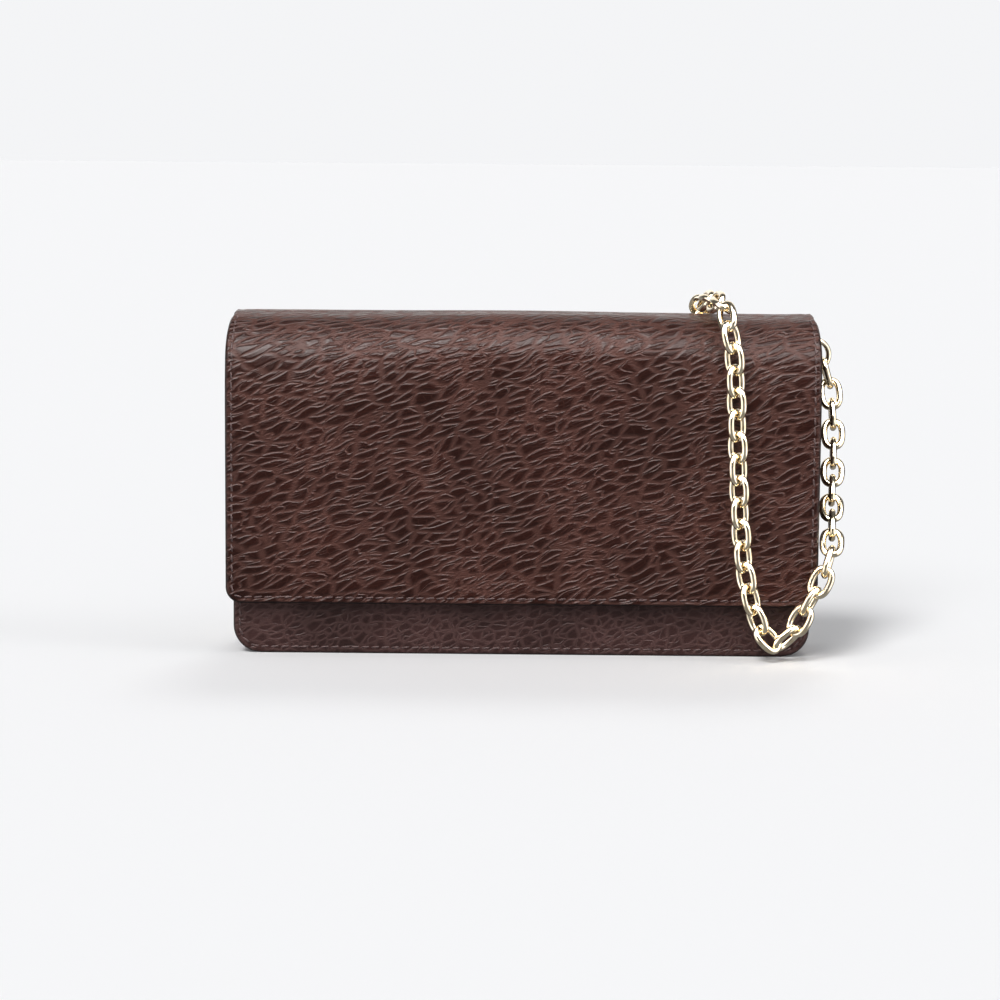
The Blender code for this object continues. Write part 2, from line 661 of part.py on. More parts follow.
def build_zip():
    """The zip: two tapes, two rows of teeth, the end stops, the slider and its pull."""
    half = POCKET_WIDTH / 2 - 1
    for name, side in (("front", -1), ("back", 1)):
        low, high = sorted((side * ZIP_TAPE_GAP, side * POCKET_HALF))
        outline = rounded_box(-half, half, low, high, CORNER_ROUNDING)
        extrude(f"zip_tape_{name}", "XY", [outline], ZIP_BASE, ZIP_BASE + ZIP_TAPE, "fabric")
        low, high = sorted((side * CLEARANCE / 2, side * (CLEARANCE / 2 + ZIP_TEETH_WIDTH)))
        outline = rounded_box(-ZIP_HALF_LENGTH, ZIP_HALF_LENGTH, low, high, CORNER_ROUNDING)
        extrude(f"zip_teeth_{name}", "XY", [outline], ZIP_TEETH_BASE, ZIP_TEETH_TOP, "light_gold")
    for name, side in (("left", -1), ("right", 1)):
        start = ZIP_HALF_LENGTH + CLEARANCE
        low, high = sorted((side * start, side * (start + ZIP_STOP_LENGTH)))
        outline = rounded_box(low, high, -ZIP_STOP_HALF_WIDTH, ZIP_STOP_HALF_WIDTH, CORNER_ROUNDING)
        extrude(f"zip_stop_{name}", "XY", [outline], ZIP_TEETH_BASE, ZIP_TEETH_TOP, "light_gold")
    slider = build_slider()
    half_width = PULL_WIDTH / 2
    start, end = SLIDER_PLACE + PULL_BAR - PULL_LENGTH, SLIDER_PLACE + PULL_BAR
    outline = rounded_box(start, end, -half_width, half_width, PULL_ROUNDING)
    hole_half = ARCH_WIDTH / 2 + PULL_PLAY
    start, end = SLIDER_PLACE - ARCH_OUTER - PULL_HOLE_END, SLIDER_PLACE - PULL_BAR
    hole = rounded_box(start, end, -hole_half, hole_half, CORNER_ROUNDING)
    low = PULL_AXIS_HEIGHT - PULL_THICKNESS / 2
    pull = extrude("zip_pull", "XY", [outline, hole], low, low + PULL_THICKNESS, "light_gold")
    travel = hang([slider], "zip_slide_axis", (SLIDER_PLACE, 0, ZIP_TEETH_TOP))
    hang([pull], "zip_pull_axis", (SLIDER_PLACE, 0, PULL_AXIS_HEIGHT), travel)


def build_slider():
    """The zip's slider: a channel over both rows of teeth, with an arch that holds the pull."""
    inner = CLEARANCE / 2 + ZIP_TEETH_WIDTH + CLEARANCE
    outer = inner + SLIDER_WALL
    roof = ZIP_TEETH_TOP + CLEARANCE
    section = [
        (-outer, ZIP_TEETH_BASE),
        (-inner, ZIP_TEETH_BASE),
        (-inner, roof),
        (inner, roof),
        (inner, ZIP_TEETH_BASE),
        (outer, ZIP_TEETH_BASE),
        (outer, SLIDER_TOP - SLIDER_CHAMFER),
        (outer - SLIDER_CHAMFER, SLIDER_TOP),
        (-outer + SLIDER_CHAMFER, SLIDER_TOP),
        (-outer, SLIDER_TOP - SLIDER_CHAMFER),
    ]
    low, high = SLIDER_PLACE - SLIDER_LENGTH / 2, SLIDER_PLACE + SLIDER_LENGTH / 2
    body = as_mesh(extrude("zip_slider", "YZ", [section], low, high, "light_gold"))
    centre = (SLIDER_PLACE, PULL_AXIS_HEIGHT)
    foot = SLIDER_TOP - SLIDER_PLATE / 2
    outline = (
        [(SLIDER_PLACE + ARCH_OUTER, foot)]
        + arc(centre, ARCH_OUTER, 0, 180, 2 * FOLD_STEPS)
        + [(SLIDER_PLACE - ARCH_OUTER, foot), (SLIDER_PLACE - ARCH_INNER, foot)]
        + arc(centre, ARCH_INNER, 180, 0, 2 * FOLD_STEPS)
        + [(SLIDER_PLACE + ARCH_INNER, foot)]
    )
    arch = as_mesh(extrude("slider_arch", "XZ", [outline], -ARCH_WIDTH / 2, ARCH_WIDTH / 2, None, True))
    return combine(body, arch, "UNION")


# --- rings, tabs and the chain -----------------------------------------------------------------


def build_ring(name, side, swing):
    """A ring and the leather tab that the back seam holds it by. Its straight bar is upright."""
    half = RING_BAR_HEIGHT / 2 - RING_WIRE_RADIUS
    turn = math.radians(swing)
    out_x, out_y = side * math.cos(turn), math.sin(turn)
    points = []
    for i in range(RING_STEPS + 1):
        angle = math.radians(-90 + 180 * i / RING_STEPS)
        reach = (RING_REACH - RING_WIRE_RADIUS) * math.cos(angle)
        height = RING_MIDDLE_HEIGHT + half * math.sin(angle)
        points.append((side * RING_BAR_X + out_x * reach, RING_BAR_Y + out_y * reach, height))
    ring = wire(f"ring_{name}", points, RING_WIRE_RADIUS, "light_gold", closed=True)
    hang([ring], f"ring_{name}_axis", (side * RING_BAR_X, RING_BAR_Y, RING_MIDDLE_HEIGHT))
    low, high = RING_MIDDLE_HEIGHT - TAB_WIDTH / 2, RING_MIDDLE_HEIGHT + TAB_WIDTH / 2
    reach = RING_BAR_X - TAB_LOOP_INNER - TAB_LEATHER / 2
    start, end = sorted((side * (PANEL_HALF - TAB_INSET), side * reach))
    strip = rounded_box(start, end, TAB_FACE - TAB_STRIP, TAB_FACE, CORNER_ROUNDING)
    tab = as_mesh(extrude(f"tab_{name}", "XY", [strip], low, high, "outer_leather"))
    loop = [
        circle(side * RING_BAR_X, RING_BAR_Y, TAB_LOOP_OUTER),
        circle(side * RING_BAR_X, RING_BAR_Y, TAB_LOOP_INNER),
    ]
    joined = as_mesh(extrude(f"tab_{name}_loop", "XY", [loop[0], loop[1]], low, high, None, True))
    combine(tab, joined, "UNION")


def build_chain():
    """The chain's solids: the loop over the flap, the hank behind the case, and the end from it."""
    wire("chain_loop", smooth_route(CHAIN_LOOP_ROUTE), CHAIN_RADIUS, "light_gold")
    wire("chain_tail", smooth_route(CHAIN_TAIL_ROUTE), CHAIN_RADIUS, "light_gold")
    low, high = HANK_START - CHAIN_RADIUS, HANK_END + CHAIN_RADIUS
    end = HANK_HALF_RUN * WIDE + CHAIN_RADIUS + HANK_SPACING / 2
    radius = (high - low) / 2
    middle = (low + high) / 2
    right = arc((end - radius, middle), radius, -90, 90, HANK_STEPS)
    left = arc((-end + radius, middle), radius, 90, 270, HANK_STEPS)
    bottom, top = CHAIN_FLOOR - CHAIN_RADIUS, CHAIN_FLOOR + CHAIN_RADIUS
    extrude("chain_hank", "XY", [right + left], bottom, top, "light_gold")


def main():
    """Builds every piece of the wallet."""
    clear_scene()
    build_back()
    build_front()
    build_flap()
    build_gussets()
    build_pocket()
    build_zip()
    build_ring("left", -1, RING_TURN_LEFT)
    build_ring("right", 1, RING_TURN_RIGHT)
    build_chain()


main()
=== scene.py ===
"""The looks of a flap wallet on a chain: grained leather, stitching, zip, press stud and gold links.

Everything is in metres in the wallet's own frame: +Z up, the flap's face to -Y, +X to the right of
someone who faces it.
"""

import logging
import math
from dataclasses import dataclass, field
from enum import Enum

import bpy
import numpy as np
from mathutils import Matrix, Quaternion, Vector


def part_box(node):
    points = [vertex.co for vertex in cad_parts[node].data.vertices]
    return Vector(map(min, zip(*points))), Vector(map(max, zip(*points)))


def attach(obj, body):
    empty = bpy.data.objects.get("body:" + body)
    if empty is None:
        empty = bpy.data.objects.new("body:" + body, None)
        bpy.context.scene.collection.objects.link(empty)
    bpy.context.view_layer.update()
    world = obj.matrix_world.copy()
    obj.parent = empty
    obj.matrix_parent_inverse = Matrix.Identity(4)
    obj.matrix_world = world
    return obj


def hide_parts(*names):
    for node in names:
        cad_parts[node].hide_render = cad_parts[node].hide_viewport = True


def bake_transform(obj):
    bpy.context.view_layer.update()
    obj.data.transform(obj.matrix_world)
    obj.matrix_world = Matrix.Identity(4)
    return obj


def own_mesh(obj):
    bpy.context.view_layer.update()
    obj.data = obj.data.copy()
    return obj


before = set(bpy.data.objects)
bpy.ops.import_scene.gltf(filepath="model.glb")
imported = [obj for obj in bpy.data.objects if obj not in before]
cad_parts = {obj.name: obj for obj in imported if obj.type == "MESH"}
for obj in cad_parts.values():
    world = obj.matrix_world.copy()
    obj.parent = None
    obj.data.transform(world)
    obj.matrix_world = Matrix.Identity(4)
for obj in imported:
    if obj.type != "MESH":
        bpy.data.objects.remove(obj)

LOG = logging.getLogger("chain_wallet")
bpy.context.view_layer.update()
MM = 0.001
# The outer leather's thickness, the seams' distance from its edge, and how deep the stitches lie in it.
LEATHER = 1.4 * MM
SEAM_INSET = 2.1 * MM
STITCH_BED = 0.10 * MM


# --- meshes ------------------------------------------------------------------------------------


@dataclass
class Shape:
    """Points and faces of one closed form, before it becomes an object."""

    points: np.ndarray
    quads: np.ndarray
    triangles: np.ndarray = field(default_factory=lambda: np.zeros((0, 3), int))

    def repeated(self, centres: np.ndarray, axes: np.ndarray) -> "Shape":
        """Copies the form to many places at once: point = centre + the form's x, y, z along three axes.

        Args:
            centres: (n, 3) places.
            axes: (n, 3, 3) rows that hold each copy's own x, y and z directions.

        Returns:
            One shape that holds every copy.
        """
        count, size = len(centres), len(self.points)
        points = np.einsum("pk,nkj->npj", self.points, axes) + centres[:, None, :]
        steps = (np.arange(count) * size)[:, None, None]
        return Shape(
            points.reshape(-1, 3),
            (self.quads[None] + steps).reshape(-1, 4),
            (self.triangles[None] + steps).reshape(-1, 3),
        )


def make_object(
    name: str, shape: Shape, uv: np.ndarray | None = None, **values: np.ndarray
) -> bpy.types.Object:
    """Puts a shape into a new smooth-shaded object that sits at the origin.

    Args:
        name: the piece's name.
        shape: its points and faces.
        uv: (points, 2) pattern coordinates in metres along the surface.
        values: point attributes, one number for each point.

    Returns:
        The object, linked to the scene.
    """
    mesh = bpy.data.meshes.new(name)
    corners = np.concatenate([shape.quads.ravel(), shape.triangles.ravel()]).astype(np.int32)
    sizes = np.concatenate([np.full(len(shape.quads), 4), np.full(len(shape.triangles), 3)])
    mesh.vertices.add(len(shape.points))
    mesh.vertices.foreach_set("co", shape.points.astype(np.float32).ravel())
    mesh.loops.add(len(corners))
    mesh.loops.foreach_set("vertex_index", corners)
    mesh.polygons.add(len(sizes))
    starts = np.concatenate([[0], np.cumsum(sizes)[:-1]]).astype(np.int32)
    mesh.polygons.foreach_set("loop_start", starts)
    mesh.update(calc_edges=True)
    mesh.validate()
    mesh.polygons.foreach_set("use_smooth", np.ones(len(sizes), bool))
    if uv is not None:
        layer = mesh.uv_layers.new(name="surface")
        layer.uv.foreach_set("vector", uv[corners].astype(np.float32).ravel())
    for key, numbers in values.items():
        attribute = mesh.attributes.new(key, "FLOAT", "POINT")
        attribute.data.foreach_set("value", np.asarray(numbers, np.float32).ravel())
    obj = bpy.data.objects.new(name, mesh)
    bpy.context.scene.collection.objects.link(obj)
    return obj


def between(index: np.ndarray) -> np.ndarray:
    """The quads between neighbouring rows and columns of a grid of point numbers."""
    return np.stack([index[:-1, :-1], index[:-1, 1:], index[1:, 1:], index[1:, :-1]], -1).reshape(-1, 4)


def grid_faces(rows: int, columns: int, offset: int = 0, flip: bool = False) -> np.ndarray:
    """Quads of a rows by columns grid of points, numbered from offset."""
    quads = between(np.arange(rows * columns).reshape(rows, columns) + offset)
    return quads[:, ::-1] if flip else quads


def rounds(count: int, steps: int) -> np.ndarray:
    """Point numbers of closed rings, whose last column is their first again."""
    index = np.arange(count * steps).reshape(count, steps)
    return np.concatenate([index, index[:, :1]], 1)


def capped(rings: np.ndarray, poles: np.ndarray) -> tuple[np.ndarray, np.ndarray, np.ndarray]:
    """Closes a stack of rings with a fan of triangles to a pole at either end.

    Args:
        rings: (rows, steps, 3) points.
        poles: the first ring's pole and the last ring's.

    Returns:
        All the points, the quads between the rings and the triangles of both ends.
    """
    index = rounds(*rings.shape[:2])
    first, last, size = index[0], index[-1], index.shape[1] - 1
    number = rings.shape[0] * size
    ends = [
        np.stack([first[1:], first[:-1], np.full(size, number)], -1),
        np.stack([last[:-1], last[1:], np.full(size, number + 1)], -1),
    ]
    return np.concatenate([rings.reshape(-1, 3), poles]), between(index), np.concatenate(ends)


def ahead_round(path: np.ndarray) -> np.ndarray:
    """The direction of a closed path at each of its points."""
    return unit(np.roll(path, -1, 0) - np.roll(path, 1, 0))


def unit(vectors: np.ndarray) -> np.ndarray:
    """Vectors at length 1."""
    return vectors / np.linalg.norm(vectors, axis=-1, keepdims=True)


def lengths(points: np.ndarray) -> np.ndarray:
    """The length along a line at each of its points."""
    return np.concatenate([[0], np.cumsum(np.linalg.norm(np.diff(points, axis=0), axis=1))])


def line_length(points: np.ndarray) -> float:
    """A line's whole length."""
    return float(lengths(points)[-1])


def read_at(at: np.ndarray, run: np.ndarray, points: np.ndarray) -> np.ndarray:
    """A line's points or directions at the lengths at, where run holds the lengths of its own points."""
    return np.stack([np.interp(at, run, points[:, k]) for k in range(points.shape[1])], -1)


def closed_sheet(outer: np.ndarray, inner: np.ndarray) -> Shape:
    """Closes two grids of points, an outer face and an inner one, with strips round their border.

    Args:
        outer: (rows, columns, 3) points, whose faces look outwards.
        inner: the same grid on the sheet's other face.

    Returns:
        The closed shape.
    """
    rows, columns = outer.shape[:2]
    count = rows * columns
    index = np.arange(count).reshape(rows, columns)
    loop = np.concatenate([index[0, :-1], index[:-1, -1], index[-1, :0:-1], index[:0:-1, 0]])
    after = np.roll(loop, -1)
    strip = np.stack([loop, loop + count, after + count, after], -1)
    quads = np.concatenate([grid_faces(rows, columns), grid_faces(rows, columns, count, True), strip])
    return Shape(np.concatenate([outer.reshape(-1, 3), inner.reshape(-1, 3)]), quads)


def closed_tube(path: np.ndarray, across: np.ndarray, up: np.ndarray, section: np.ndarray) -> Shape:
    """Carries a closed section round a closed path: point = path + across * section x + up * section y.

    Args:
        path: (n, 3) centreline, whose last point joins its first.
        across, up: (n, 3) directions at each of its points.
        section: (m, 2) points of the section, anticlockwise.

    Returns:
        The tube.
    """
    points = path[:, None] + across[:, None] * section[None, :, :1] + up[:, None] * section[None, :, 1:]
    index = rounds(*points.shape[:2])
    return Shape(points.reshape(-1, 3), between(np.concatenate([index, index[:1]])))


def turned_shape(profile: list[tuple[float, float]], centre: Vector, steps: int = 48) -> Shape:
    """Turns a profile of (radius, height) round an axis that points to -Y.

    Args:
        profile: points down the outer side, from the axis at the front to the axis at the back.
        centre: the axis's foot, at height 0.
        steps: points round each ring.

    Returns:
        The turned form, closed at both poles.
    """
    rings = np.array(profile[1:-1])
    turn = np.arange(steps) * 2 * np.pi / steps
    x = rings[:, :1] * np.cos(turn)
    z = rings[:, :1] * np.sin(turn)
    y = np.repeat(-rings[:, 1:], steps, 1)
    poles = np.array([[0, -profile[0][1], 0], [0, -profile[-1][1], 0]])
    points, quads, caps = capped(np.stack([x, y, z], -1), poles)
    return Shape(points + np.array(centre), quads, caps[:, [1, 0, 2]])


def make_sheet(
    name: str, outer: np.ndarray, inner: np.ndarray, uv: np.ndarray, edge: np.ndarray
) -> bpy.types.Object:
    """Makes a closed sheet whose two faces share pattern coordinates and the point value edge.

    Args:
        name: the piece's name.
        outer, inner: (rows, columns, 3) points of its faces.
        uv: (rows, columns, 2) pattern coordinates in metres.
        edge: (rows, columns) how much of the edge's paint is on each point.

    Returns:
        The sheet.
    """
    flat, paint = uv.reshape(-1, 2), edge.ravel()
    return make_object(
        name, closed_sheet(outer, inner), np.concatenate([flat, flat]), edge=np.concatenate([paint, paint])
    )


def spread(count: int, low: float, high: float, start: float = 1.2, end: float = 1.2) -> np.ndarray:
    """Numbers from low to high that crowd towards either end, by a share of the even spacing."""
    t = np.linspace(0, 1, count)
    near_start = 1 - np.cos(np.pi * t / 2)
    near_end = np.sin(np.pi * t / 2)
    total = 1 + start + end
    return low + (high - low) * (t + start * near_start + end * near_end) / total


def root(values: np.ndarray, power: float = 0.5) -> np.ndarray:
    """A power of the values that keeps their signs."""
    return np.sign(values) * np.abs(values) ** power


def smoothstep(x: np.ndarray, low: float, high: float) -> np.ndarray:
    """0 up to low, 1 from high, and a smooth rise between them."""
    t = np.clip((x - low) / (high - low), 0, 1)
    return t * t * (3 - 2 * t)


# --- finishes ----------------------------------------------------------------------------------


class TreeBook:
    """A node tree, with short calls for the nodes that the finishes and the studio share."""

    def __init__(self, tree: bpy.types.NodeTree) -> None:
        """Takes the tree that the nodes go into."""
        self.tree = tree

    def add(self, kind: str, inputs: dict | None = None, **settings: object) -> bpy.types.Node:
        """Adds a node.

        Args:
            kind: the node's type without the ShaderNode prefix.
            inputs: input name or number to a value, or to a socket that it is linked from.
            settings: the node's own settings.

        Returns:
            The node.
        """
        node = self.tree.nodes.new("ShaderNode" + kind)
        for key, value in settings.items():
            setattr(node, key, value)
        for key, value in (inputs or {}).items():
            if isinstance(value, bpy.types.NodeSocket):
                self.tree.links.new(value, node.inputs[key])
            else:
                node.inputs[key].default_value = value
        return node

    def maths(self, operation: str, a: object, b: object = 0.0, c: object = 0.0) -> bpy.types.NodeSocket:
        """One Math node's result."""
        return self.add("Math", {0: a, 1: b, 2: c}, operation=operation).outputs[0]

    def vectors(self, operation: str, a: object, b: object) -> bpy.types.NodeSocket:
        """One Vector Math node's vector."""
        return self.add("VectorMath", {0: a, 1: b}, operation=operation).outputs[0]

    def noise(
        self, at: object, scale: float, detail: float, rough: float = 0.5, flat: bool = False
    ) -> bpy.types.bpy_prop_collection:
        """The outputs of a noise pattern in space, or on a flat surface."""
        inputs = {"Vector": at, "Scale": scale, "Detail": detail, "Roughness": rough}
        return self.add("TexNoise", inputs, noise_dimensions="2D" if flat else "3D").outputs

    def bump(
        self, height: object, strength: float, relief: float, invert: bool = False
    ) -> bpy.types.NodeSocket:
        """The normal that a height gives."""
        inputs = {"Height": height, "Strength": strength, "Distance": relief}
        return self.add("Bump", inputs, invert=invert).outputs[0]

    def bands(self, at: object, size: float, way: str, waver: float = 0.0) -> bpy.types.NodeSocket:
        """Straight bands that lie about two sizes apart."""
        inputs = {"Vector": at, "Scale": 1 / size / 6.3, "Distortion": waver}
        return self.add("TexWave", inputs, bands_direction=way).outputs["Fac"]

    def ramp(
        self, value: object, low: float, high: float, to_low: float = 0.0, to_high: float = 1.0
    ) -> bpy.types.NodeSocket:
        """A smooth rise of value from low to high, between two results."""
        inputs = {"Value": value, "From Min": low, "From Max": high, "To Min": to_low, "To Max": to_high}
        return self.add("MapRange", inputs, interpolation_type="SMOOTHSTEP").outputs["Result"]

    def mix(self, share: object, a: object, b: object, blend: str = "MIX") -> bpy.types.NodeSocket:
        """A mix of two colours."""
        node = self.add("Mix", data_type="RGBA", blend_type=blend)
        sockets = {s.identifier: s for s in node.inputs}
        for key, value in (("Factor_Float", share), ("A_Color", a), ("B_Color", b)):
            if isinstance(value, bpy.types.NodeSocket):
                self.tree.links.new(value, sockets[key])
            elif key == "Factor_Float":
                sockets[key].default_value = value
            else:
                sockets[key].default_value = (*value, 1.0)
        return next(s for s in node.outputs if s.identifier == "Result_Color")


class NodeBook(TreeBook):
    """A material's node tree."""

    def __init__(self, name: str) -> None:
        """Starts an empty material with a Principled shader.

        Args:
            name: the material's name.
        """
        self.material = bpy.data.materials.new(name)
        self.material.use_nodes = True
        super().__init__(self.material.node_tree)
        self.shader = self.tree.nodes["Principled BSDF"]

    def shade(self, **values: object) -> bpy.types.Material:
        """Sets the shader's sockets, by value or by link, and returns the material."""
        for key, value in values.items():
            socket = self.shader.inputs[key.replace("_", " ")]
            if isinstance(value, bpy.types.NodeSocket):
                self.tree.links.new(value, socket)
            else:
                socket.default_value = (*value, 1.0) if isinstance(value, tuple) else value
        return self.material


@dataclass(frozen=True)
class GrainedLeather:
    """Leather with a shrunken grain: long pebbles that run one way, parted by creases."""

    name: str
    pebble: tuple[float, float, float]
    crease_and_painted_highlight: tuple[float, float, float]
    paint: tuple[float, float, float] = (0.010, 0.006, 0.006)
    length: float = 0.0082
    width: float = 0.0027
    slant: float = 22.0
    relief: float = 0.00050
    strength: float = 1.0
    roughness: tuple[float, float] = (0.25, 0.44)
    specular: float = 0.22

    def material(self) -> bpy.types.Material:
        """Builds the material. It reads the surface UV map, in metres, and the point value edge.

        The grain is the distance to the borders of two sets of cells, a coarse one and a fine one,
        on coordinates that a soft noise bends. Height, colour and gloss all come from it.
        """
        book = NodeBook(self.name)
        surface = book.add("UVMap", uv_map="surface").outputs["UV"]
        bend = book.noise(surface, 70.0, 1.5, flat=True)["Color"]
        centred = book.vectors("SUBTRACT", bend, (0.5, 0.5, 0.5))
        shift = book.add("VectorMath", {0: centred, "Scale": 0.0036}, operation="SCALE").outputs[0]
        slant = {"Vector": book.vectors("ADD", surface, shift), "Angle": math.radians(self.slant)}
        turned = book.add("VectorRotate", slant, rotation_type="Z_AXIS").outputs[0]
        cells = book.vectors("MULTIPLY", turned, (1 / self.length, 1 / self.width, 1.0))
        coarse = self.cells(book, cells, 1.0, "DISTANCE_TO_EDGE")["Distance"]
        fine = self.cells(book, cells, 2.6, "DISTANCE_TO_EDGE")["Distance"]
        tone = self.cells(book, cells, 1.0, "F1")["Color"]
        flow = book.noise(cells, 0.62, 1.5, 0.4, flat=True)["Fac"]
        pores = book.noise(surface, 2400.0, 3.0, 0.6, flat=True)["Fac"]
        patches = book.noise(surface, 38.0, 3.0, flat=True)["Fac"]
        valley = book.ramp(book.maths("ABSOLUTE", book.maths("SUBTRACT", flow, 0.5)), 0.0, 0.045)
        pebble = book.maths("MULTIPLY", book.ramp(coarse, 0.0, 0.26), valley)
        small, small_share = book.ramp(fine, 0.0, 0.20), book.ramp(patches, 0.35, 0.65, 0.05, 0.20)
        height = book.maths("MULTIPLY_ADD", small, small_share, book.maths("MULTIPLY", pebble, 0.75))
        height = book.maths("MULTIPLY_ADD", pores, 0.035, height)
        edge = book.add("Attribute", attribute_name="edge").outputs["Fac"]
        height = book.maths("MULTIPLY", height, book.maths("SUBTRACT", 1.0, edge))
        open_share = book.maths("MULTIPLY", pebble, book.ramp(fine, 0.0, 0.11, 0.55, 1.0))
        open_share = book.maths("MULTIPLY_ADD", book.maths("SUBTRACT", pores, 0.5), 0.5, open_share)
        # The creases are lighter than the pebbles partly as their own grain colour and partly as painted
        # highlight, standing in for the light that the raised ridges catch from above.
        colour = book.mix(open_share, self.crease_and_painted_highlight, self.pebble)
        light = tuple(min(1.0, c * 1.7) for c in self.pebble)
        cell_tone = book.ramp(book.add("SeparateColor", {0: tone}).outputs[0], 0.3, 1.0, 0.0, 0.5)
        colour = book.mix(book.maths("MULTIPLY", cell_tone, open_share), colour, light)
        patch_tone = book.ramp(patches, 0.3, 0.7, 0.80, 1.18)
        grey = book.add("CombineColor", {0: patch_tone, 1: patch_tone, 2: patch_tone}).outputs[0]
        colour = book.mix(edge, book.mix(1.0, colour, grey, "MULTIPLY"), self.paint)
        smooth, rough = self.roughness
        gloss = book.maths("MULTIPLY_ADD", pores, 0.10, book.ramp(pebble, 0.0, 1.0, rough, smooth))
        normal = book.bump(height, self.strength, self.relief, invert=True)
        return book.shade(
            Base_Color=colour, Roughness=gloss, Specular_IOR_Level=self.specular, Normal=normal
        )

    def cells(
        self, book: NodeBook, at: bpy.types.NodeSocket, scale: float, feature: str
    ) -> bpy.types.bpy_prop_collection:
        """The outputs of one set of flat cells."""
        inputs = {"Vector": at, "Scale": scale}
        return book.add("TexVoronoi", inputs, feature=feature, voronoi_dimensions="2D").outputs


@dataclass(frozen=True)
class PaleGold:
    """Polished pale gold plating, with the faint waves and hairlines of small cast metal."""

    name: str
    colour: tuple[float, float, float] = (0.90, 0.81, 0.64)
    tint: tuple[float, float, float] = (0.82, 0.69, 0.48)
    roughness: tuple[float, float] = (0.07, 0.15)
    relief: float = 0.00005

    def material(self) -> bpy.types.Material:
        """Builds the material from the piece's own place, so that no two links look the same."""
        book = NodeBook(self.name)
        place = book.add("TexCoord").outputs["Object"]
        wave = book.noise(place, 420.0, 2.0)["Fac"]
        lines = book.noise(place, 5200.0, 2.0)["Fac"]
        colour = book.mix(book.ramp(wave, 0.35, 0.7), self.colour, self.tint)
        gloss = book.ramp(lines, 0.3, 0.7, *self.roughness)
        normal = book.bump(wave, 0.25, self.relief)
        return book.shade(Base_Color=colour, Metallic=1.0, Roughness=gloss, Normal=normal)


@dataclass(frozen=True)
class Thread:
    """Waxed, twisted thread."""

    name: str
    colour: tuple[float, float, float] = (0.060, 0.024, 0.022)
    twist: float = 0.00042

    def material(self) -> bpy.types.Material:
        """Builds the material: slanting strands across the piece's own x and z."""
        book = NodeBook(self.name)
        place = book.add("TexCoord").outputs["Object"]
        strands = book.bands(place, self.twist, "DIAGONAL", 0.4)
        colour = book.mix(strands, tuple(c * 0.55 for c in self.colour), self.colour)
        normal = book.bump(strands, 0.6, 0.00008)
        return book.shade(Base_Color=colour, Roughness=0.55, Sheen_Weight=0.2, Normal=normal)


@dataclass(frozen=True)
class Weave:
    """Plain woven cloth: two sets of threads that cross, in the piece's own x and y or z."""

    name: str
    colour: tuple[float, float, float] = (0.040, 0.020, 0.017)
    pitch: float = 0.00055

    def material(self) -> bpy.types.Material:
        """Builds the material from two waves at right angles, whose product is the weave's height."""
        book = NodeBook(self.name)
        place = book.add("TexCoord").outputs["Object"]
        warp = book.bands(place, self.pitch, "X")
        tilted = book.add("Mapping", {"Vector": place, "Rotation": (0.0, math.radians(45), math.radians(90))})
        height = book.maths("MULTIPLY", warp, book.bands(tilted.outputs[0], self.pitch, "X"))
        colour = book.mix(height, tuple(c * 0.5 for c in self.colour), self.colour)
        normal = book.bump(height, 0.8, 0.00015)
        return book.shade(Base_Color=colour, Roughness=0.85, Sheen_Weight=0.25, Normal=normal)


@dataclass(frozen=True)
class RawBoard:
    """Bonded leather board: short fibres pressed flat."""

    name: str
    colour: tuple[float, float, float] = (0.21, 0.16, 0.11)

    def material(self) -> bpy.types.Material:
        """Builds the material from a stretched noise for the fibres and a soft one for its patches."""
        book = NodeBook(self.name)
        place = book.add("TexCoord").outputs["Object"]
        stretched = book.add("Mapping", {"Vector": place, "Scale": (1.0, 1.0, 4.0)}).outputs[0]
        fibres = book.noise(stretched, 700.0, 5.0)["Fac"]
        colour = book.mix(book.ramp(fibres, 0.3, 0.7), tuple(c * 0.6 for c in self.colour), self.colour)
        return book.shade(Base_Color=colour, Roughness=0.9, Normal=book.bump(fibres, 0.5, 0.0001))


class Finish(Enum):
    """The finishes that the wallet is made in."""

    # Each grain's second colour is its creases' colour, made lighter than the pebbles partly as painted
    # highlight for the light that the raised ridges catch from above.
    OUTER = GrainedLeather("flap grain", (0.0185, 0.0040, 0.0023), (0.056, 0.0210, 0.0155), relief=0.00025)
    LOWER = GrainedLeather(
        "lower grain",
        (0.032, 0.0140, 0.0128),
        (0.056, 0.0275, 0.0250),
        length=0.0042,
        width=0.0024,
        relief=0.00013,
    )
    INNER = GrainedLeather(
        "inner grain",
        (0.036, 0.0165, 0.0130),
        (0.050, 0.025, 0.020),
        length=0.0016,
        width=0.0012,
        relief=0.00008,
        roughness=(0.46, 0.58),
    )
    GOLD = PaleGold("pale gold plating")
    THREAD = Thread("waxed thread")
    CLOTH = Weave("pocket cloth")
    BOARD = RawBoard("bonded board")

    @property
    def surface(self) -> bpy.types.Material:
        """The finish's material, made the first time that a piece asks for it."""
        return bpy.data.materials.get(self.value.name) or self.value.material()


def dress(obj: bpy.types.Object, finish: Finish, *nodes: str) -> bpy.types.Object:
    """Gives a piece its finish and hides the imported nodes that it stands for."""
    obj.data.materials.clear()
    obj.data.materials.append(finish.surface)
    if nodes:
        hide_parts(*nodes)
    return obj


def keep_node(node: str, finish: Finish) -> None:
    """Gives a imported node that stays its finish. Its mesh is left alone."""
    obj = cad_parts[node]
    obj.data.materials.clear()
    obj.data.materials.append(finish.surface)


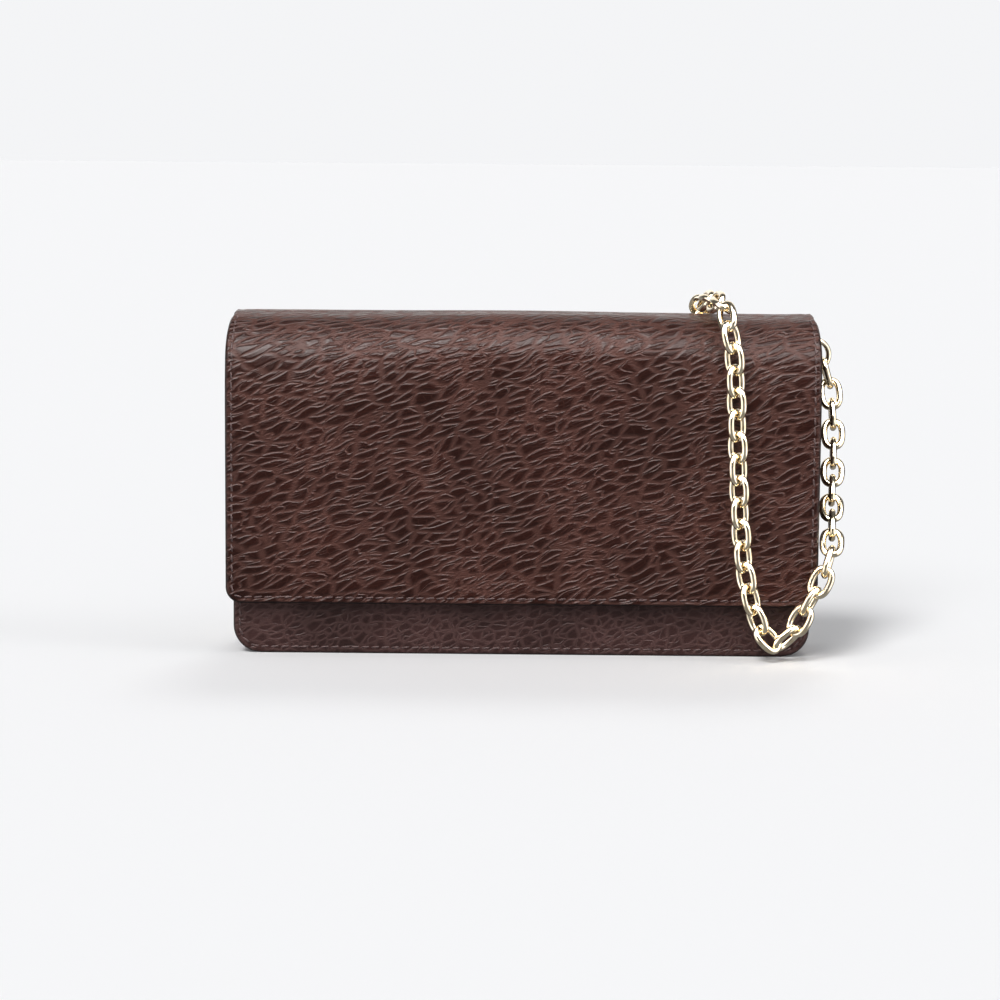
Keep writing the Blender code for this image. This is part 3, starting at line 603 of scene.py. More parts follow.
def refined_node(node: str, body: str, finish: Finish, rounding: float) -> bpy.types.Object:
    """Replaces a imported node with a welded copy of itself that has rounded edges.

    Args:
        node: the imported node.
        body: the body that it rides on.
        finish: its finish.
        rounding: the width of the rounded edges.

    Returns:
        The new piece.
    """
    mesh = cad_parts[node].data.copy()
    obj = bpy.data.objects.new(node + "_finished", mesh)
    bpy.context.scene.collection.objects.link(obj)
    weld = obj.modifiers.new("weld", "WELD")
    weld.merge_threshold = 0.00001
    round_edges = obj.modifiers.new("round edges", "BEVEL")
    round_edges.width = rounding
    round_edges.segments = 3
    round_edges.limit_method = "ANGLE"
    round_edges.angle_limit = math.radians(40)
    graph = bpy.context.evaluated_depsgraph_get()
    finished = bpy.data.meshes.new_from_object(obj.evaluated_get(graph))
    obj.modifiers.clear()
    obj.data = finished
    finished.shade_smooth()
    finished.set_sharp_from_angle(angle=math.radians(50))
    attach(dress(obj, finish, node), body)
    return obj


# --- the leather skin --------------------------------------------------------------------------


@dataclass(frozen=True)
class WrapLine:
    """The line that the skin takes, seen from the side: up the back, over two folds, down the front."""

    back: float
    front: float
    top: float
    hem: float
    back_radius: float = 8 * MM
    front_radius: float = 14 * MM

    @property
    def marks(self) -> np.ndarray:
        """The lengths along the line at which its five stretches end, from the floor at the back."""
        rise = self.top - self.back_radius
        strip = self.back - self.back_radius - self.front - self.front_radius
        fall = self.top - self.front_radius - self.hem
        turns = np.array([self.back_radius, self.front_radius]) * np.pi / 2
        return np.cumsum([rise, turns[0], strip, turns[1], fall])

    def at(self, s: np.ndarray, inset: np.ndarray) -> tuple[np.ndarray, np.ndarray, np.ndarray, np.ndarray]:
        """Places on the line at length s, moved inwards by inset.

        The direction turns by s / radius in each fold, and the place is the sum of the stretches: the
        rise, the first arc, the strip, the second arc and the fall.

        Returns:
            y, z and the outward direction's y and z.
        """
        m = self.marks
        first = np.clip((s - m[0]) / self.back_radius, 0, np.pi / 2)
        second = np.clip((s - m[2]) / self.front_radius, 0, np.pi / 2)
        turn = first + second
        y = self.back - self.back_radius * (1 - np.cos(first)) - np.clip(s - m[1], 0, m[2] - m[1])
        y = y - self.front_radius * np.sin(second)
        z = np.clip(s, None, m[0]) + self.back_radius * np.sin(first)
        z = z - self.front_radius * (1 - np.cos(second)) - np.clip(s - m[3], 0, None)
        ny, nz = np.cos(turn), np.sin(turn)
        return y - inset * ny, z - inset * nz, ny, nz


def ripple(a: np.ndarray, b: np.ndarray, size: float) -> np.ndarray:
    """A gentle unevenness: the sum of five long waves whose directions and phases differ."""
    waves = ((31, 17, 0.3), (-23, 41, 1.9), (57, -29, 4.1), (83, 61, 2.2), (-97, 35, 5.0))
    heights = [np.sin(ka * a + kb * b + phase) / (1 + 0.25 * i) for i, (ka, kb, phase) in enumerate(waves)]
    return size * sum(heights) / 2.2


@dataclass(frozen=True)
class Layer:
    """One layer of a sheet: how far its two faces lie in from the line, and how they meet at its edge."""

    outer: float
    inner: float
    pinch_outer: float = 0.0
    pinch_inner: float = 0.0
    pinch_reach: float = 5 * MM
    rim: float = 0.55 * MM
    seam: float | None = None
    seam_depth: float = 0.14 * MM
    seam_width: float = 0.8 * MM

    def insets(self, distance: np.ndarray) -> tuple[np.ndarray, np.ndarray]:
        """Both faces' insets at a distance from the sheet's edge.

        Each face comes to its pinched value near the edge, then both round off to meet: the half
        thickness is a quarter circle of the rim's width. A seam presses a shallow groove.
        """
        near = 1 - smoothstep(distance, 0.55 * self.pinch_reach, self.pinch_reach)
        outer = self.outer + self.pinch_outer * near
        inner = self.inner + self.pinch_inner * near
        middle = (outer + inner) / 2
        share = np.clip(distance / self.rim, 0.02, 1)
        round_off = np.sqrt(1 - (1 - share) ** 2)
        if self.seam is not None:
            outer = outer + self.seam_depth * np.exp(-(((distance - self.seam) / self.seam_width) ** 2))
        return middle - (middle - outer) * round_off, middle + (inner - middle) * round_off


def corner_distance(side: np.ndarray, end: np.ndarray, radius: float) -> np.ndarray:
    """The distance to an outline with round corners, from the distances to its side and its end."""
    inside = np.hypot(np.clip(radius - side, 0, None), np.clip(radius - end, 0, None))
    return np.where((side < radius) & (end < radius), radius - inside, np.minimum(side, end))


def corner_half(half: np.ndarray, end: np.ndarray, radius: float) -> np.ndarray:
    """Half the width of a sheet with round corners, at a distance from its end."""
    reach = np.clip(radius - end, 0, radius)
    return half - radius + np.sqrt(radius**2 - reach**2)


@dataclass
class Skin:
    """The wallet's outer leather and lining, each in two sheets that meet in the middle of the top."""

    line: WrapLine
    case_half: float
    flap_half: float
    flap_corner: float = 5 * MM
    case_corner: float = 9 * MM
    drawn_in: float = 1.2 * MM
    sink: float = 3.0 * MM
    sink_reach: float = 13 * MM
    sink_least: float = 0.22
    sink_middle: float = 12 * MM
    sink_rise: tuple[float, float] = (22 * MM, 62 * MM)
    wave: float = 0.24 * MM
    columns: int = 236

    def half(self, s: np.ndarray) -> np.ndarray:
        """Half the skin's width at length s: it is drawn in where the leather goes over the top."""
        m = self.line.marks
        narrow = self.flap_half - self.drawn_in
        back = self.case_half + (narrow - self.case_half) * smoothstep(s, m[0] - 2 * MM, m[1])
        front = 1 - np.clip((m[3] - s) / (m[3] - m[2] + 2 * MM), 0, 1) ** 2.2
        return back + (self.flap_half - narrow) * front

    def settled(self, x: np.ndarray, s: np.ndarray) -> np.ndarray:
        """How far the skin has sunk at its front fold, which is rounder towards its sides.

        It is a bell along s over the middle of the fold, times a rise from the middle to either side.
        """
        m = self.line.marks
        off_fold = (s - (m[2] + m[3]) / 2) / self.sink_reach
        aside = smoothstep(np.abs(x - self.sink_middle), *self.sink_rise)
        share = self.sink_least + (1 - self.sink_least) * aside
        return self.sink * share * np.exp(-(off_fold**2))

    def sheet(
        self, name: str, start: float, end: float, rows: int, layer: Layer, inset_sides: float = 0.0
    ) -> bpy.types.Object:
        """One sheet of the skin between two lengths along the line.

        A point's place across is its column's share of the half width, which narrows round the
        corners at the floor and at the hem. Its place along is the line's, less the layer's inset.

        Args:
            name: the piece's name.
            start, end: lengths along the line.
            rows: rows of points.
            layer: the layer's faces.
            inset_sides: how far the sheet's edges lie inside the skin's own.

        Returns:
            The sheet.
        """
        total = self.line.marks[-1]
        free_start, free_end = start < total * 0.2, end > total * 0.9
        s = spread(rows, start, end, 0.9 * free_start, 0.9 * free_end)[:, None]
        across = spread(self.columns, -1.0, 1.0)[None, :]
        half = self.half(s) - inset_sides
        far = np.full_like(s, 1.0)
        to_end = np.minimum(s - start if free_start else far, end - s if free_end else far)
        corner = (self.case_corner if free_start else self.flap_corner) - inset_sides
        x = across * corner_half(half, to_end, corner)
        side = half - np.abs(x)
        to_end = to_end + 0 * x
        distance = np.clip(corner_distance(side, to_end, corner), 0, None)
        outer_inset, inner_inset = layer.insets(distance)
        wave = ripple(x, s, self.wave) * smoothstep(distance, 0, 12 * MM) - self.settled(x, s)
        faces = []
        for inset in (outer_inset - wave, inner_inset - wave):
            y, z, _, _ = self.line.at(s + 0 * x, inset)
            faces.append(np.stack([x, y, z], -1))
        edge = 1 - smoothstep(distance, 0.35 * MM, 0.8 * MM)
        return make_sheet(name, *faces, np.stack([x, s + 0 * x], -1), edge)

    def stitch_bed(self, x: np.ndarray, s: np.ndarray) -> tuple[np.ndarray, np.ndarray]:
        """Places just under the skin's outer face, where stitches lie, and the outward directions."""
        y, z, ny, nz = self.line.at(s, STITCH_BED + self.settled(x, s))
        return np.stack([x, y, z], -1), np.stack([np.zeros_like(x), ny, nz], -1)

    def build(self) -> None:
        """Builds the four sheets and bakes their places into their meshes."""
        m = self.line.marks
        middle = (m[1] + m[2]) / 2
        total = m[-1]
        outer = Layer(0.0, LEATHER, rim=0.6 * MM, seam=SEAM_INSET)
        pinched = Layer(0.0, LEATHER, pinch_inner=0.62 * MM, rim=0.7 * MM, seam=SEAM_INSET)
        lining = Layer(2 * LEATHER, 3.4 * MM, pinch_outer=-0.74 * MM, rim=0.5 * MM, seam=SEAM_INSET)
        back = self.sheet("back_skin", 0.0, middle, 128, outer)
        flap = self.sheet("flap_skin", middle, total, 178, pinched)
        back_lining = self.sheet("back_lining_skin", 2 * MM, middle, 80, lining, 1.6 * MM)
        flap_lining = self.sheet("flap_lining_skin", middle, total - 0.3 * MM, 120, lining, 0.3 * MM)
        dress(back, Finish.OUTER, "back_panel", "flap_top_leather")
        dress(flap, Finish.OUTER, "flap_leather", "flap_top_leather")
        dress(back_lining, Finish.INNER, "back_lining", "flap_top_lining")
        dress(flap_lining, Finish.INNER, "flap_lining", "flap_top_lining")
        for piece in (back, back_lining):
            self.bend_back(piece)
        for piece in (flap, flap_lining):
            self.bend_front(piece)
        LOG.info("skin: %s", [p.name for p in (back, flap, back_lining, flap_lining)])

    def bend_back(self, piece: bpy.types.Object) -> None:
        """Bakes the place of a piece at the back into its mesh."""
        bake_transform(piece)

    def bend_front(self, piece: bpy.types.Object) -> None:
        """Bakes the place of a piece at the front into its mesh."""
        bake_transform(piece)


# --- flat panels -------------------------------------------------------------------------------


@dataclass
class Panel:
    """A flat sheet of leather that faces the front, with round lower corners and rounded edges."""

    name: str
    node: str
    corner: float
    finish: Finish
    columns: int = 120
    rows: int = 72
    rim: float = 0.5 * MM
    top_crease: bool = False
    wave: float = 0.0
    seam: float | None = None
    top_corner: float = 1.0 * MM
    pattern_at: tuple[float, float] = (0.31, 0.17)

    def build(self, body: str = "case") -> bpy.types.Object:
        """Builds the panel in its node's box: x, z on a graded grid, y from the layer's two faces.

        Args:
            body: the body that it rides on.

        Returns:
            The panel.
        """
        low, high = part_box(self.node)
        half = high[0]
        z = spread(self.rows, low[2], high[2])[:, None]
        across = spread(self.columns, -1.0, 1.0)[None, :]
        up, down = z - low[2], high[2] - z
        x = across * np.minimum(corner_half(half, up, self.corner), corner_half(half, down, self.top_corner))
        side = half - np.abs(x)
        bottom = corner_distance(side, up + 0 * x, self.corner)
        distance = np.clip(np.minimum(bottom, down + 0 * x), 0, None)
        depth = high[1] - low[1]
        outer, inner = Layer(0.0, depth, rim=min(self.rim, depth), seam=self.seam).insets(distance)
        if self.top_crease:
            outer = outer + 0.10 * MM * np.exp(-(((down - 1.8 * MM) / (0.35 * MM)) ** 2))
        bow = ripple(x, z, self.wave) * smoothstep(distance, 0, 10 * MM)
        front = np.stack([x, low[1] + outer + bow, z + 0 * x], -1)
        back = np.stack([x, low[1] + inner + bow, z + 0 * x], -1)
        uv = np.stack([x + self.pattern_at[0], self.pattern_at[1] - z + 0 * x], -1)
        obj = make_sheet(self.name, front, back, uv, 1 - smoothstep(distance, 0.25 * MM, 0.6 * MM))
        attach(dress(obj, self.finish, self.node), body)
        LOG.info("panel: %s", self.name)
        return obj


@dataclass
class Gusset:
    """A side gusset: a strip that pleats inwards twice and flattens round the lower corner."""

    side: int
    corner: float = 9 * MM
    pleat: float = 8 * MM
    thickness: float = 1.0 * MM
    rows: int = 90
    columns: int = 72

    def build(self) -> bpy.types.Object:
        """Builds the strip between its node's limits.

        Down the side and round the corner runs the path; across it the strip moves inwards by the
        pleat's depth times sin squared of one whole turn, which fades out round the corner.

        Returns:
            The gusset.
        """
        node = "gusset_left" if self.side < 0 else "gusset_right"
        low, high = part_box(node)
        reach, top = high[1], high[2]
        half = max(abs(low[0]), abs(high[0])) - self.thickness / 2
        radius = self.corner - self.thickness / 2
        fall = top - self.corner
        s = np.linspace(0, fall + radius * np.pi / 2, self.rows)[:, None]
        turn = np.clip((s - fall) / radius, 0, np.pi / 2)
        x = half - radius + radius * np.cos(turn)
        z = top - np.clip(s, 0, fall) - radius * np.sin(turn)
        share = np.linspace(0, 1, self.columns)[None, :]
        fade = (1 - turn / (np.pi / 2)) ** 2
        fold = self.pleat * fade * np.sin(2 * np.pi * share) ** 2
        y = (reach - 2 * reach * share) + 0 * s
        middle = np.stack([self.side * (x - np.cos(turn) * fold), y, z + np.sin(turn) * fold], -1)
        along = np.gradient(middle, axis=0)
        across = np.gradient(middle, axis=1)
        normal = unit(np.cross(across, along) * self.side)
        width = 2 * reach
        from_edge = np.minimum(s, np.minimum(share, 1 - share) * width)
        round_off = np.sqrt(1 - (1 - np.clip(from_edge / (0.4 * MM), 0.05, 1)) ** 2)[..., None]
        outer = middle + normal * self.thickness / 2 * round_off
        inner = middle - normal * self.thickness / 2 * round_off
        uv = np.stack([share * width * 1.6 + 0 * s, s + 0 * share], -1)
        grids = [outer, inner, uv, 1 - smoothstep(from_edge, 0.2 * MM, 0.5 * MM)]
        if self.side > 0:
            grids = [grid[:, ::-1] for grid in grids]
        obj = make_sheet(node + "_pleats", *grids)
        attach(dress(obj, Finish.INNER, node), "case")
        LOG.info("gusset: %s", obj.name)
        return obj


# --- stitching ---------------------------------------------------------------------------------


@dataclass
class Stitching:
    """A row of saddle stitches: short twisted bars that dip into the leather at both ends."""

    length: float = 2.5 * MM
    pitch: float = 3.25 * MM
    radius: float = 0.27 * MM
    lean: float = 7.0

    def bar(self) -> Shape:
        """One stitch along x: a bar of six sides whose radius falls as the root of 1 - x^4."""
        t = np.array([-0.97, -0.8, -0.35, 0.35, 0.8, 0.97])
        radius = self.radius * np.sqrt(1 - t**4)
        turn = np.arange(6) * np.pi / 3
        x = np.repeat(t[:, None] * self.length / 2, 6, 1)
        y = radius[:, None] * np.cos(turn)
        z = radius[:, None] * np.sin(turn) - 0.16 * MM * (t[:, None] ** 4)
        ends = np.array([[-self.length / 2, 0, -0.18 * MM], [self.length / 2, 0, -0.18 * MM]])
        points, quads, caps = capped(np.stack([x, y, z], -1), ends)
        return Shape(points, quads[:, ::-1], caps[:, ::-1])

    def row(self, name: str, places: np.ndarray, normals: np.ndarray) -> bpy.types.Object:
        """Stitches along a line of places on a surface.

        Args:
            name: the piece's name.
            places: (n, 3) points of the line, close together.
            normals: (n, 3) outward directions there.

        Returns:
            The row as one piece.
        """
        run = lengths(places)
        count = int(run[-1] / self.pitch)
        at = (np.arange(count) + 0.5) * run[-1] / count
        centre, up = read_at(at, run, places), unit(read_at(at, run, normals))
        along = unit(read_at(at + 0.4 * MM, run, places) - read_at(at - 0.4 * MM, run, places))
        aside = unit(np.cross(up, along))
        lean = math.radians(self.lean)
        leaning = along * math.cos(lean) + aside * math.sin(lean)
        axes = np.stack([leaning, np.cross(up, leaning), up], 1)
        obj = make_object(name, self.bar().repeated(centre + up * STITCH_BED, axes))
        LOG.info("stitching: %s, %d stitches", name, count)
        return dress(obj, Finish.THREAD)


def seam_run(half: float, low: float, top: float, corner: float) -> tuple[np.ndarray, np.ndarray]:
    """A U-shaped seam inside an outline with two round corners: down one side, along and up the other.

    Args:
        half, low, top, corner: the outline's half width, its lower edge, the seam's top and the corners.

    Returns:
        x and height along the seam.
    """
    reach, radius, foot = half - SEAM_INSET, corner - SEAM_INSET, low + SEAM_INSET
    turn = np.linspace(0, np.pi / 2, 12)[1:-1]
    down = np.linspace(top, foot + radius, 160)
    arc_x = reach - radius + radius * np.cos(turn)
    arc_z = foot + radius - radius * np.sin(turn)
    flat = np.linspace(reach - radius, -(reach - radius), 260)
    side = np.full_like(down, reach)
    x = np.concatenate([side, arc_x, flat, -arc_x[::-1], -side])
    z = np.concatenate([down, arc_z, np.full_like(flat, foot), arc_z[::-1], down[::-1]])
    return x, z


# --- the chain ---------------------------------------------------------------------------------


def smooth_route(route: list[tuple[float, float, float]], spacing: float = 0.5 * MM) -> np.ndarray:
    """Even points along a Catmull-Rom curve through a route's own points.

    Args:
        route: the points, in millimetres.
        spacing: the distance between the results.

    Returns:
        (n, 3) points in metres.
    """
    given = np.array(route, float) * MM
    given = np.concatenate([2 * given[:1] - given[1:2], given, 2 * given[-1:] - given[-2:-1]])
    a, b, c, d = (given[k : len(given) - 3 + k, None] for k in range(4))
    t = np.linspace(0, 1, 24, endpoint=False)[None, :, None]
    cubic = 2 * b + (c - a) * t + (2 * a - 5 * b + 4 * c - d) * t**2 + (3 * b - a - 3 * c + d) * t**3
    return even_points(np.concatenate([(0.5 * cubic).reshape(-1, 3), given[-2:-1]]), spacing)


def even_points(points: np.ndarray, spacing: float) -> np.ndarray:
    """The same line, read at even steps."""
    run = lengths(points)
    return read_at(np.linspace(0, run[-1], max(2, int(run[-1] / spacing))), run, points)


@dataclass
class Chain:
    """The chain strap: flattened oval links, each turned a quarter from its neighbours."""

    wallet_back: float
    wallet_front: float
    top: float
    pitch: float = 7.0 * MM
    wire: float = 1.05 * MM
    width: float = 8.0 * MM
    tube_width: float = 6.2
    hank_half: float = 52.0
    hank_runs: int = 5
    hank_spacing: float = 8.0
    hank_offset: float = 13.0
    loop_turn: float = 33.0
    rest_turn: float = 45.0
    squash_behind: float = 8 * MM

    @property
    def loop_route(self) -> list[tuple[float, float, float]]:
        """The stretch from the right ring, beside the case, up the flap, over the top and down behind."""
        off = self.tube_width / 2 + 0.3
        front, back = self.wallet_front / MM - off, self.wallet_back / MM + off
        top, over, floor = self.top / MM, self.top / MM + off, self.tube_width / 2 + 0.9
        hank = self.wallet_back / MM + self.hank_offset
        return [
            (98.8, 15.4, 93.0),
            (100.2, 16.8, 88.6),
            (101.2, 16.2, 84.0),
            (101.8, 12.8, 75.0),
            (101.6, 7.2, 65.0),
            (100.8, 0.8, 56.0),
            (100.0, -6.0, 48.4),
            (99.6, -12.2, 42.0),
            (98.9, -17.8, 36.0),
            (97.0, front + 0.2, 30.0),
            (94.6, front - 0.7, 24.4),
            (91.4, front - 0.8, 18.4),
            (87.9, front - 0.9, 11.8),
            (84.2, front - 0.9, 7.4),
            (80.4, front - 0.9, 6.6),
            (77.2, front - 0.8, 9.8),
            (75.0, front - 0.7, 14.6),
            (72.8, front - 0.4, 22.0),
            (70.8, front, 32.0),
            (69.4, front, 46.0),
            (68.4, front, 64.0),
            (67.6, front, 82.0),
            (66.6, front, 97.0),
            (65.0, front + 1.0, top - 3.6),
            (63.6, front + 5.6, top + 2.4),
            (62.0, front + 13.6, over + 0.6),
            (60.2, 2.0, over + 0.5),
            (58.6, 12.0, over - 0.2),
            (57.6, back - 1.6, top - 1.4),
            (57.4, back + 0.2, top - 9.0),
            (57.6, back + 0.2, 84.0),
            (58.6, back + 0.2, 62.0),
            (60.8, back + 0.2, 42.0),
            (64.6, back + 0.5, 26.0),
            (69.8, back + 1.8, 13.6),
            (74.6, back + 4.6, 6.2),
            (75.4, back + 8.0, floor),
            (71.2, hank + 0.6, floor),
            (66.2, hank + 0.2, floor),
            (61.6, hank, floor),
        ]

    @property
    def rest_route(self) -> list[tuple[float, float, float]]:
        """The rest: the hank's runs to and fro behind the case, then along the floor to the left ring.

        Each run is straight, and a half circle of half the spacing joins it to the next.
        """
        back = self.wallet_back / MM + self.tube_width / 2 + 0.3
        floor = self.tube_width / 2 + 0.2
        start = self.wallet_back / MM + self.hank_offset
        end = start + (self.hank_runs - 1) * self.hank_spacing
        points = [(61.6, start, floor), (57.0, start, floor)]
        radius = self.hank_spacing / 2
        for run in range(self.hank_runs):
            way = -1 if run % 2 == 0 else 1
            y = start + run * self.hank_spacing
            points += [(way * self.hank_half * share, y, floor) for share in (-0.9, -0.3, 0.3, 0.9)]
            if run < self.hank_runs - 1:
                for turn in map(math.radians, (-70, -30, 30, 70)):
                    x = way * (self.hank_half + radius * math.cos(turn))
                    points.append((x, y + radius * (1 + math.sin(turn)), floor))
        points += [
            (-61.6, end, floor),
            (-66.6, end - 1.6, floor),
            (-71.2, end - 6.0, floor),
            (-75.0, 48.2, floor),
            (-78.8, 40.6, floor),
            (-82.4, 33.0, floor + 0.3),
            (-85.4, 26.8, 7.0),
            (-87.4, 22.6, 13.6),
            (-88.8, 20.8, 23.0),
            (-89.8, back + 0.2, 38.0),
            (-90.6, back + 0.2, 56.0),
            (-91.8, back + 0.3, 73.0),
            (-93.2, back + 0.5, 83.0),
            (-94.6, back + 0.3, 89.0),
            (-95.4, back - 1.6, 92.6),
        ]
        return points

    def link(self, around: int, section: int) -> Shape:
        """One link in x and y: an oval line that a squared section is carried along.

        The oval is |x/a|^2.5 + |y/b|^2.5 = 1 and the section |u|^3.2 + |v|^3.2 = wire^3.2, so that the
        wire has the flat sides of a diamond-cut chain.

        Args:
            around: points along the oval.
            section: points round the wire.

        Returns:
            The link.
        """
        a = self.pitch / 2 + self.wire
        b = self.width / 2 - self.wire
        turn = np.arange(around) * 2 * np.pi / around
        x, y = a * root(np.cos(turn), 2 / 2.5), b * root(np.sin(turn), 2 / 2.5)
        path = np.stack([x, y, 0 * x], -1)
        ahead = ahead_round(path)
        out = np.stack([ahead[:, 1], -ahead[:, 0], 0 * x], -1)
        up = np.tile([0.0, 0.0, 1.0], (around, 1))
        spin = (np.arange(section) + 0.5) * 2 * np.pi / section
        size = self.wire / (np.abs(np.cos(spin)) ** 3.2 + np.abs(np.sin(spin)) ** 3.2) ** (1 / 3.2)
        ring = np.stack([size * np.cos(spin), size * np.sin(spin)], -1)
        return closed_tube(path, out, up, ring)

    def sides(self, ahead: np.ndarray, first: np.ndarray) -> np.ndarray:
        """Directions across a path that turn with it and never twist round it.

        Each direction is the one before it, less its part along the path.

        Args:
            ahead: (n, 3) the path's own directions at even points.
            first: the direction at its start.

        Returns:
            (n, 3) unit directions.
        """
        side, sides = first, []
        for way in ahead:
            side = unit(side - way * (side @ way))
            sides.append(side)
        return np.array(sides)

    def links(
        self, name: str, path: np.ndarray, first: list[float], turn: np.ndarray, detail: tuple[int, int]
    ) -> bpy.types.Object:
        """Places links along a path, each turned a quarter from the one before.

        Args:
            name: the piece's name.
            path: (n, 3) even points.
            first: the direction across the path at its start.
            turn: (n,) how far the links are turned from it, in radians.
            detail: points along each link and round its wire.

        Returns:
            The links as one piece.
        """
        ahead = unit(np.gradient(path, axis=0))
        length, rows = line_length(path), np.arange(len(path))
        count = round(length / self.pitch)
        at = (np.arange(count) + 0.5) / count * (len(path) - 1)
        centre, along = read_at(at, rows, path), unit(read_at(at, rows, ahead))
        side = read_at(at, rows, self.sides(ahead, np.array(first)))
        side = unit(side - along * (side * along).sum(1, keepdims=True))
        angle = (np.interp(at, rows, turn) + (np.arange(count) % 2) * np.pi / 2)[:, None]
        across = side * np.cos(angle) + np.cross(along, side) * np.sin(angle)
        axes = np.stack([along, across, np.cross(along, across)], 1)
        obj = make_object(name, self.link(*detail).repeated(centre, axes))
        LOG.info("chain: %s, %d links over %.3f m", name, count, length)
        return dress(obj, Finish.GOLD)

    def build(self) -> None:
        loop = smooth_route(self.loop_route)
        rest = smooth_route(self.rest_route)
        share = np.linspace(0, 1, len(loop))
        turn = math.radians(self.loop_turn) * smoothstep(share, 0.16, 0.34)
        loop_piece = self.links("chain_loop_links", loop, [0.0, -1.0, 0.0], turn, (26, 8))
        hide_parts("chain_loop")
        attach(loop_piece, "case")
        turn = np.full(len(rest), math.radians(self.rest_turn))
        rest_piece = self.links("chain_rest_links", rest, [0.0, 0.0, 1.0], turn, (16, 6))
        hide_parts("chain_hank", "chain_tail")
        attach(rest_piece, "case")
        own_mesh(loop_piece)


@dataclass
class Ring:
    """A ring with one straight side, bent from round wire, that holds an end of the chain."""

    side: int
    turn: float
    wire: float = 0.9 * MM
    reach: float = 6.5 * MM
    height: float = 12 * MM
    loop: float = 1.8 * MM

    def build(self) -> bpy.types.Object:
        """Builds the ring: half an ellipse from one end of the bar to the other, and the bar itself."""
        name = "left" if self.side < 0 else "right"
        low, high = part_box(f"tab_{name}")
        middle = (low[2] + high[2]) / 2
        bar_x = high[0] - self.loop if self.side > 0 else low[0] + self.loop
        bar_y = (low[1] + high[1]) / 2
        half = self.height / 2 - self.wire
        sweep = np.linspace(-np.pi / 2, np.pi / 2, 40)
        out = np.concatenate([(self.reach - self.wire) * np.cos(sweep), np.zeros(18)])
        up = np.concatenate([half * np.sin(sweep), np.linspace(half, -half, 20)[1:-1]])
        turn = math.radians(self.turn)
        way = np.array([self.side * math.cos(turn), math.sin(turn), 0.0])
        path = np.array([bar_x, bar_y, middle]) + out[:, None] * way + up[:, None] * np.array([0, 0, 1.0])
        flat = np.tile(np.cross(way, [0, 0, 1.0]), (len(path), 1))
        outwards = np.cross(ahead_round(path), flat)
        spin = np.arange(14) * 2 * np.pi / 14
        section = self.wire * np.stack([np.cos(spin), np.sin(spin)], -1)
        obj = make_object(f"ring_{name}_wire", closed_tube(path, outwards, flat, section))
        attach(dress(obj, Finish.GOLD, f"ring_{name}"), f"ring_{name}")
        LOG.info("ring: %s", name)
        return obj


# --- small metal -------------------------------------------------------------------------------


@dataclass
class PressStud:
    """The press stud: a knob on a domed flange in front, and a ringed socket in the flap."""

    knob: float = 2.1 * MM
    stem: float = 1.0 * MM
    stem_length: float = 2.3 * MM

    def build(self) -> None:
        """Turns the visible halves and keeps the hidden cap and washer."""
        low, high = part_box("snap_post")
        base = high[1] - self.stem_length
        radius, front, knob = (high[0] - low[0]) / 2, base - low[1], self.knob
        profile = [
            (0.0, front),
            (knob * 0.55, front - 0.02 * MM),
            (knob * 0.9, front - 0.22 * MM),
            (knob, front - 0.5 * MM),
            (knob * 0.86, 0.5 * MM),
            (knob * 1.3, 0.34 * MM),
            (radius * 0.7, 0.36 * MM),
            (radius * 0.93, 0.24 * MM),
            (radius, 0.08 * MM),
            (radius, 0.0),
            (self.stem, -0.02 * MM),
            (self.stem, base - high[1]),
            (0.0, base - high[1]),
        ]
        centre = Vector(((low[0] + high[0]) / 2, base, (low[2] + high[2]) / 2))
        post = make_object("snap_post_turned", turned_shape(profile, centre))
        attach(dress(post, Finish.GOLD, "snap_post"), "case")
        refined_node("snap_socket", "flap", Finish.GOLD, 0.12 * MM)
        keep_node("snap_cap", Finish.GOLD)
        keep_node("snap_washer", Finish.GOLD)
        LOG.info("press stud")


@dataclass
class Zip:
    """The coin pocket's zip: separate teeth on two woven tapes, end stops, a slider and its pull."""

    tooth_pitch: float = 1.9 * MM

    def tooth(self, length: float, width: float, height: float) -> Shape:
        """One tooth: a rounded block, |x/a|^4 + |y/b|^4 + |z/c|^4 = 1, on eight meridians."""
        turn = np.arange(8) * np.pi / 4 + np.pi / 8
        rise = np.array([-0.85, -0.45, 0.45, 0.85]) * np.pi / 2
        x = root(np.cos(rise))[:, None] * root(np.cos(turn)) * length / 2
        y = root(np.cos(rise))[:, None] * root(np.sin(turn)) * width / 2
        z = np.repeat((root(np.sin(rise)) * height / 2)[:, None], 8, 1)
        return Shape(*capped(np.stack([x, y, z], -1), np.array([[0, 0, -height / 2], [0, 0, height / 2]])))

    def build(self) -> None:
        """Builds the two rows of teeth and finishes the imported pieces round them."""
        for name, shift in (("front", 0.0), ("back", 0.5)):
            node = f"zip_teeth_{name}"
            low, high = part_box(node)
            count = int((high[0] - low[0]) / self.tooth_pitch) - 1
            centres = np.zeros((count, 3))
            centres[:, 0] = low[0] + (np.arange(count) + 0.7 + shift) * self.tooth_pitch
            centres[:, 1] = (low[1] + high[1]) / 2
            centres[:, 2] = (low[2] + high[2]) / 2
            tooth = self.tooth(self.tooth_pitch * 0.72, high[1] - low[1], high[2] - low[2])
            obj = make_object(node + "_row", tooth.repeated(centres, np.repeat(np.eye(3)[None], count, 0)))
            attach(dress(obj, Finish.GOLD, node), "case")
            keep_node(f"zip_tape_{name}", Finish.CLOTH)
        for node in ("zip_stop_left", "zip_stop_right"):
            refined_node(node, "case", Finish.GOLD, 0.2 * MM)
        refined_node("zip_slider", "zip_slider", Finish.GOLD, 0.25 * MM)
        refined_node("zip_pull", "zip_pull", Finish.GOLD, 0.22 * MM)
        LOG.info("zip")


# --- the whole wallet --------------------------------------------------------------------------


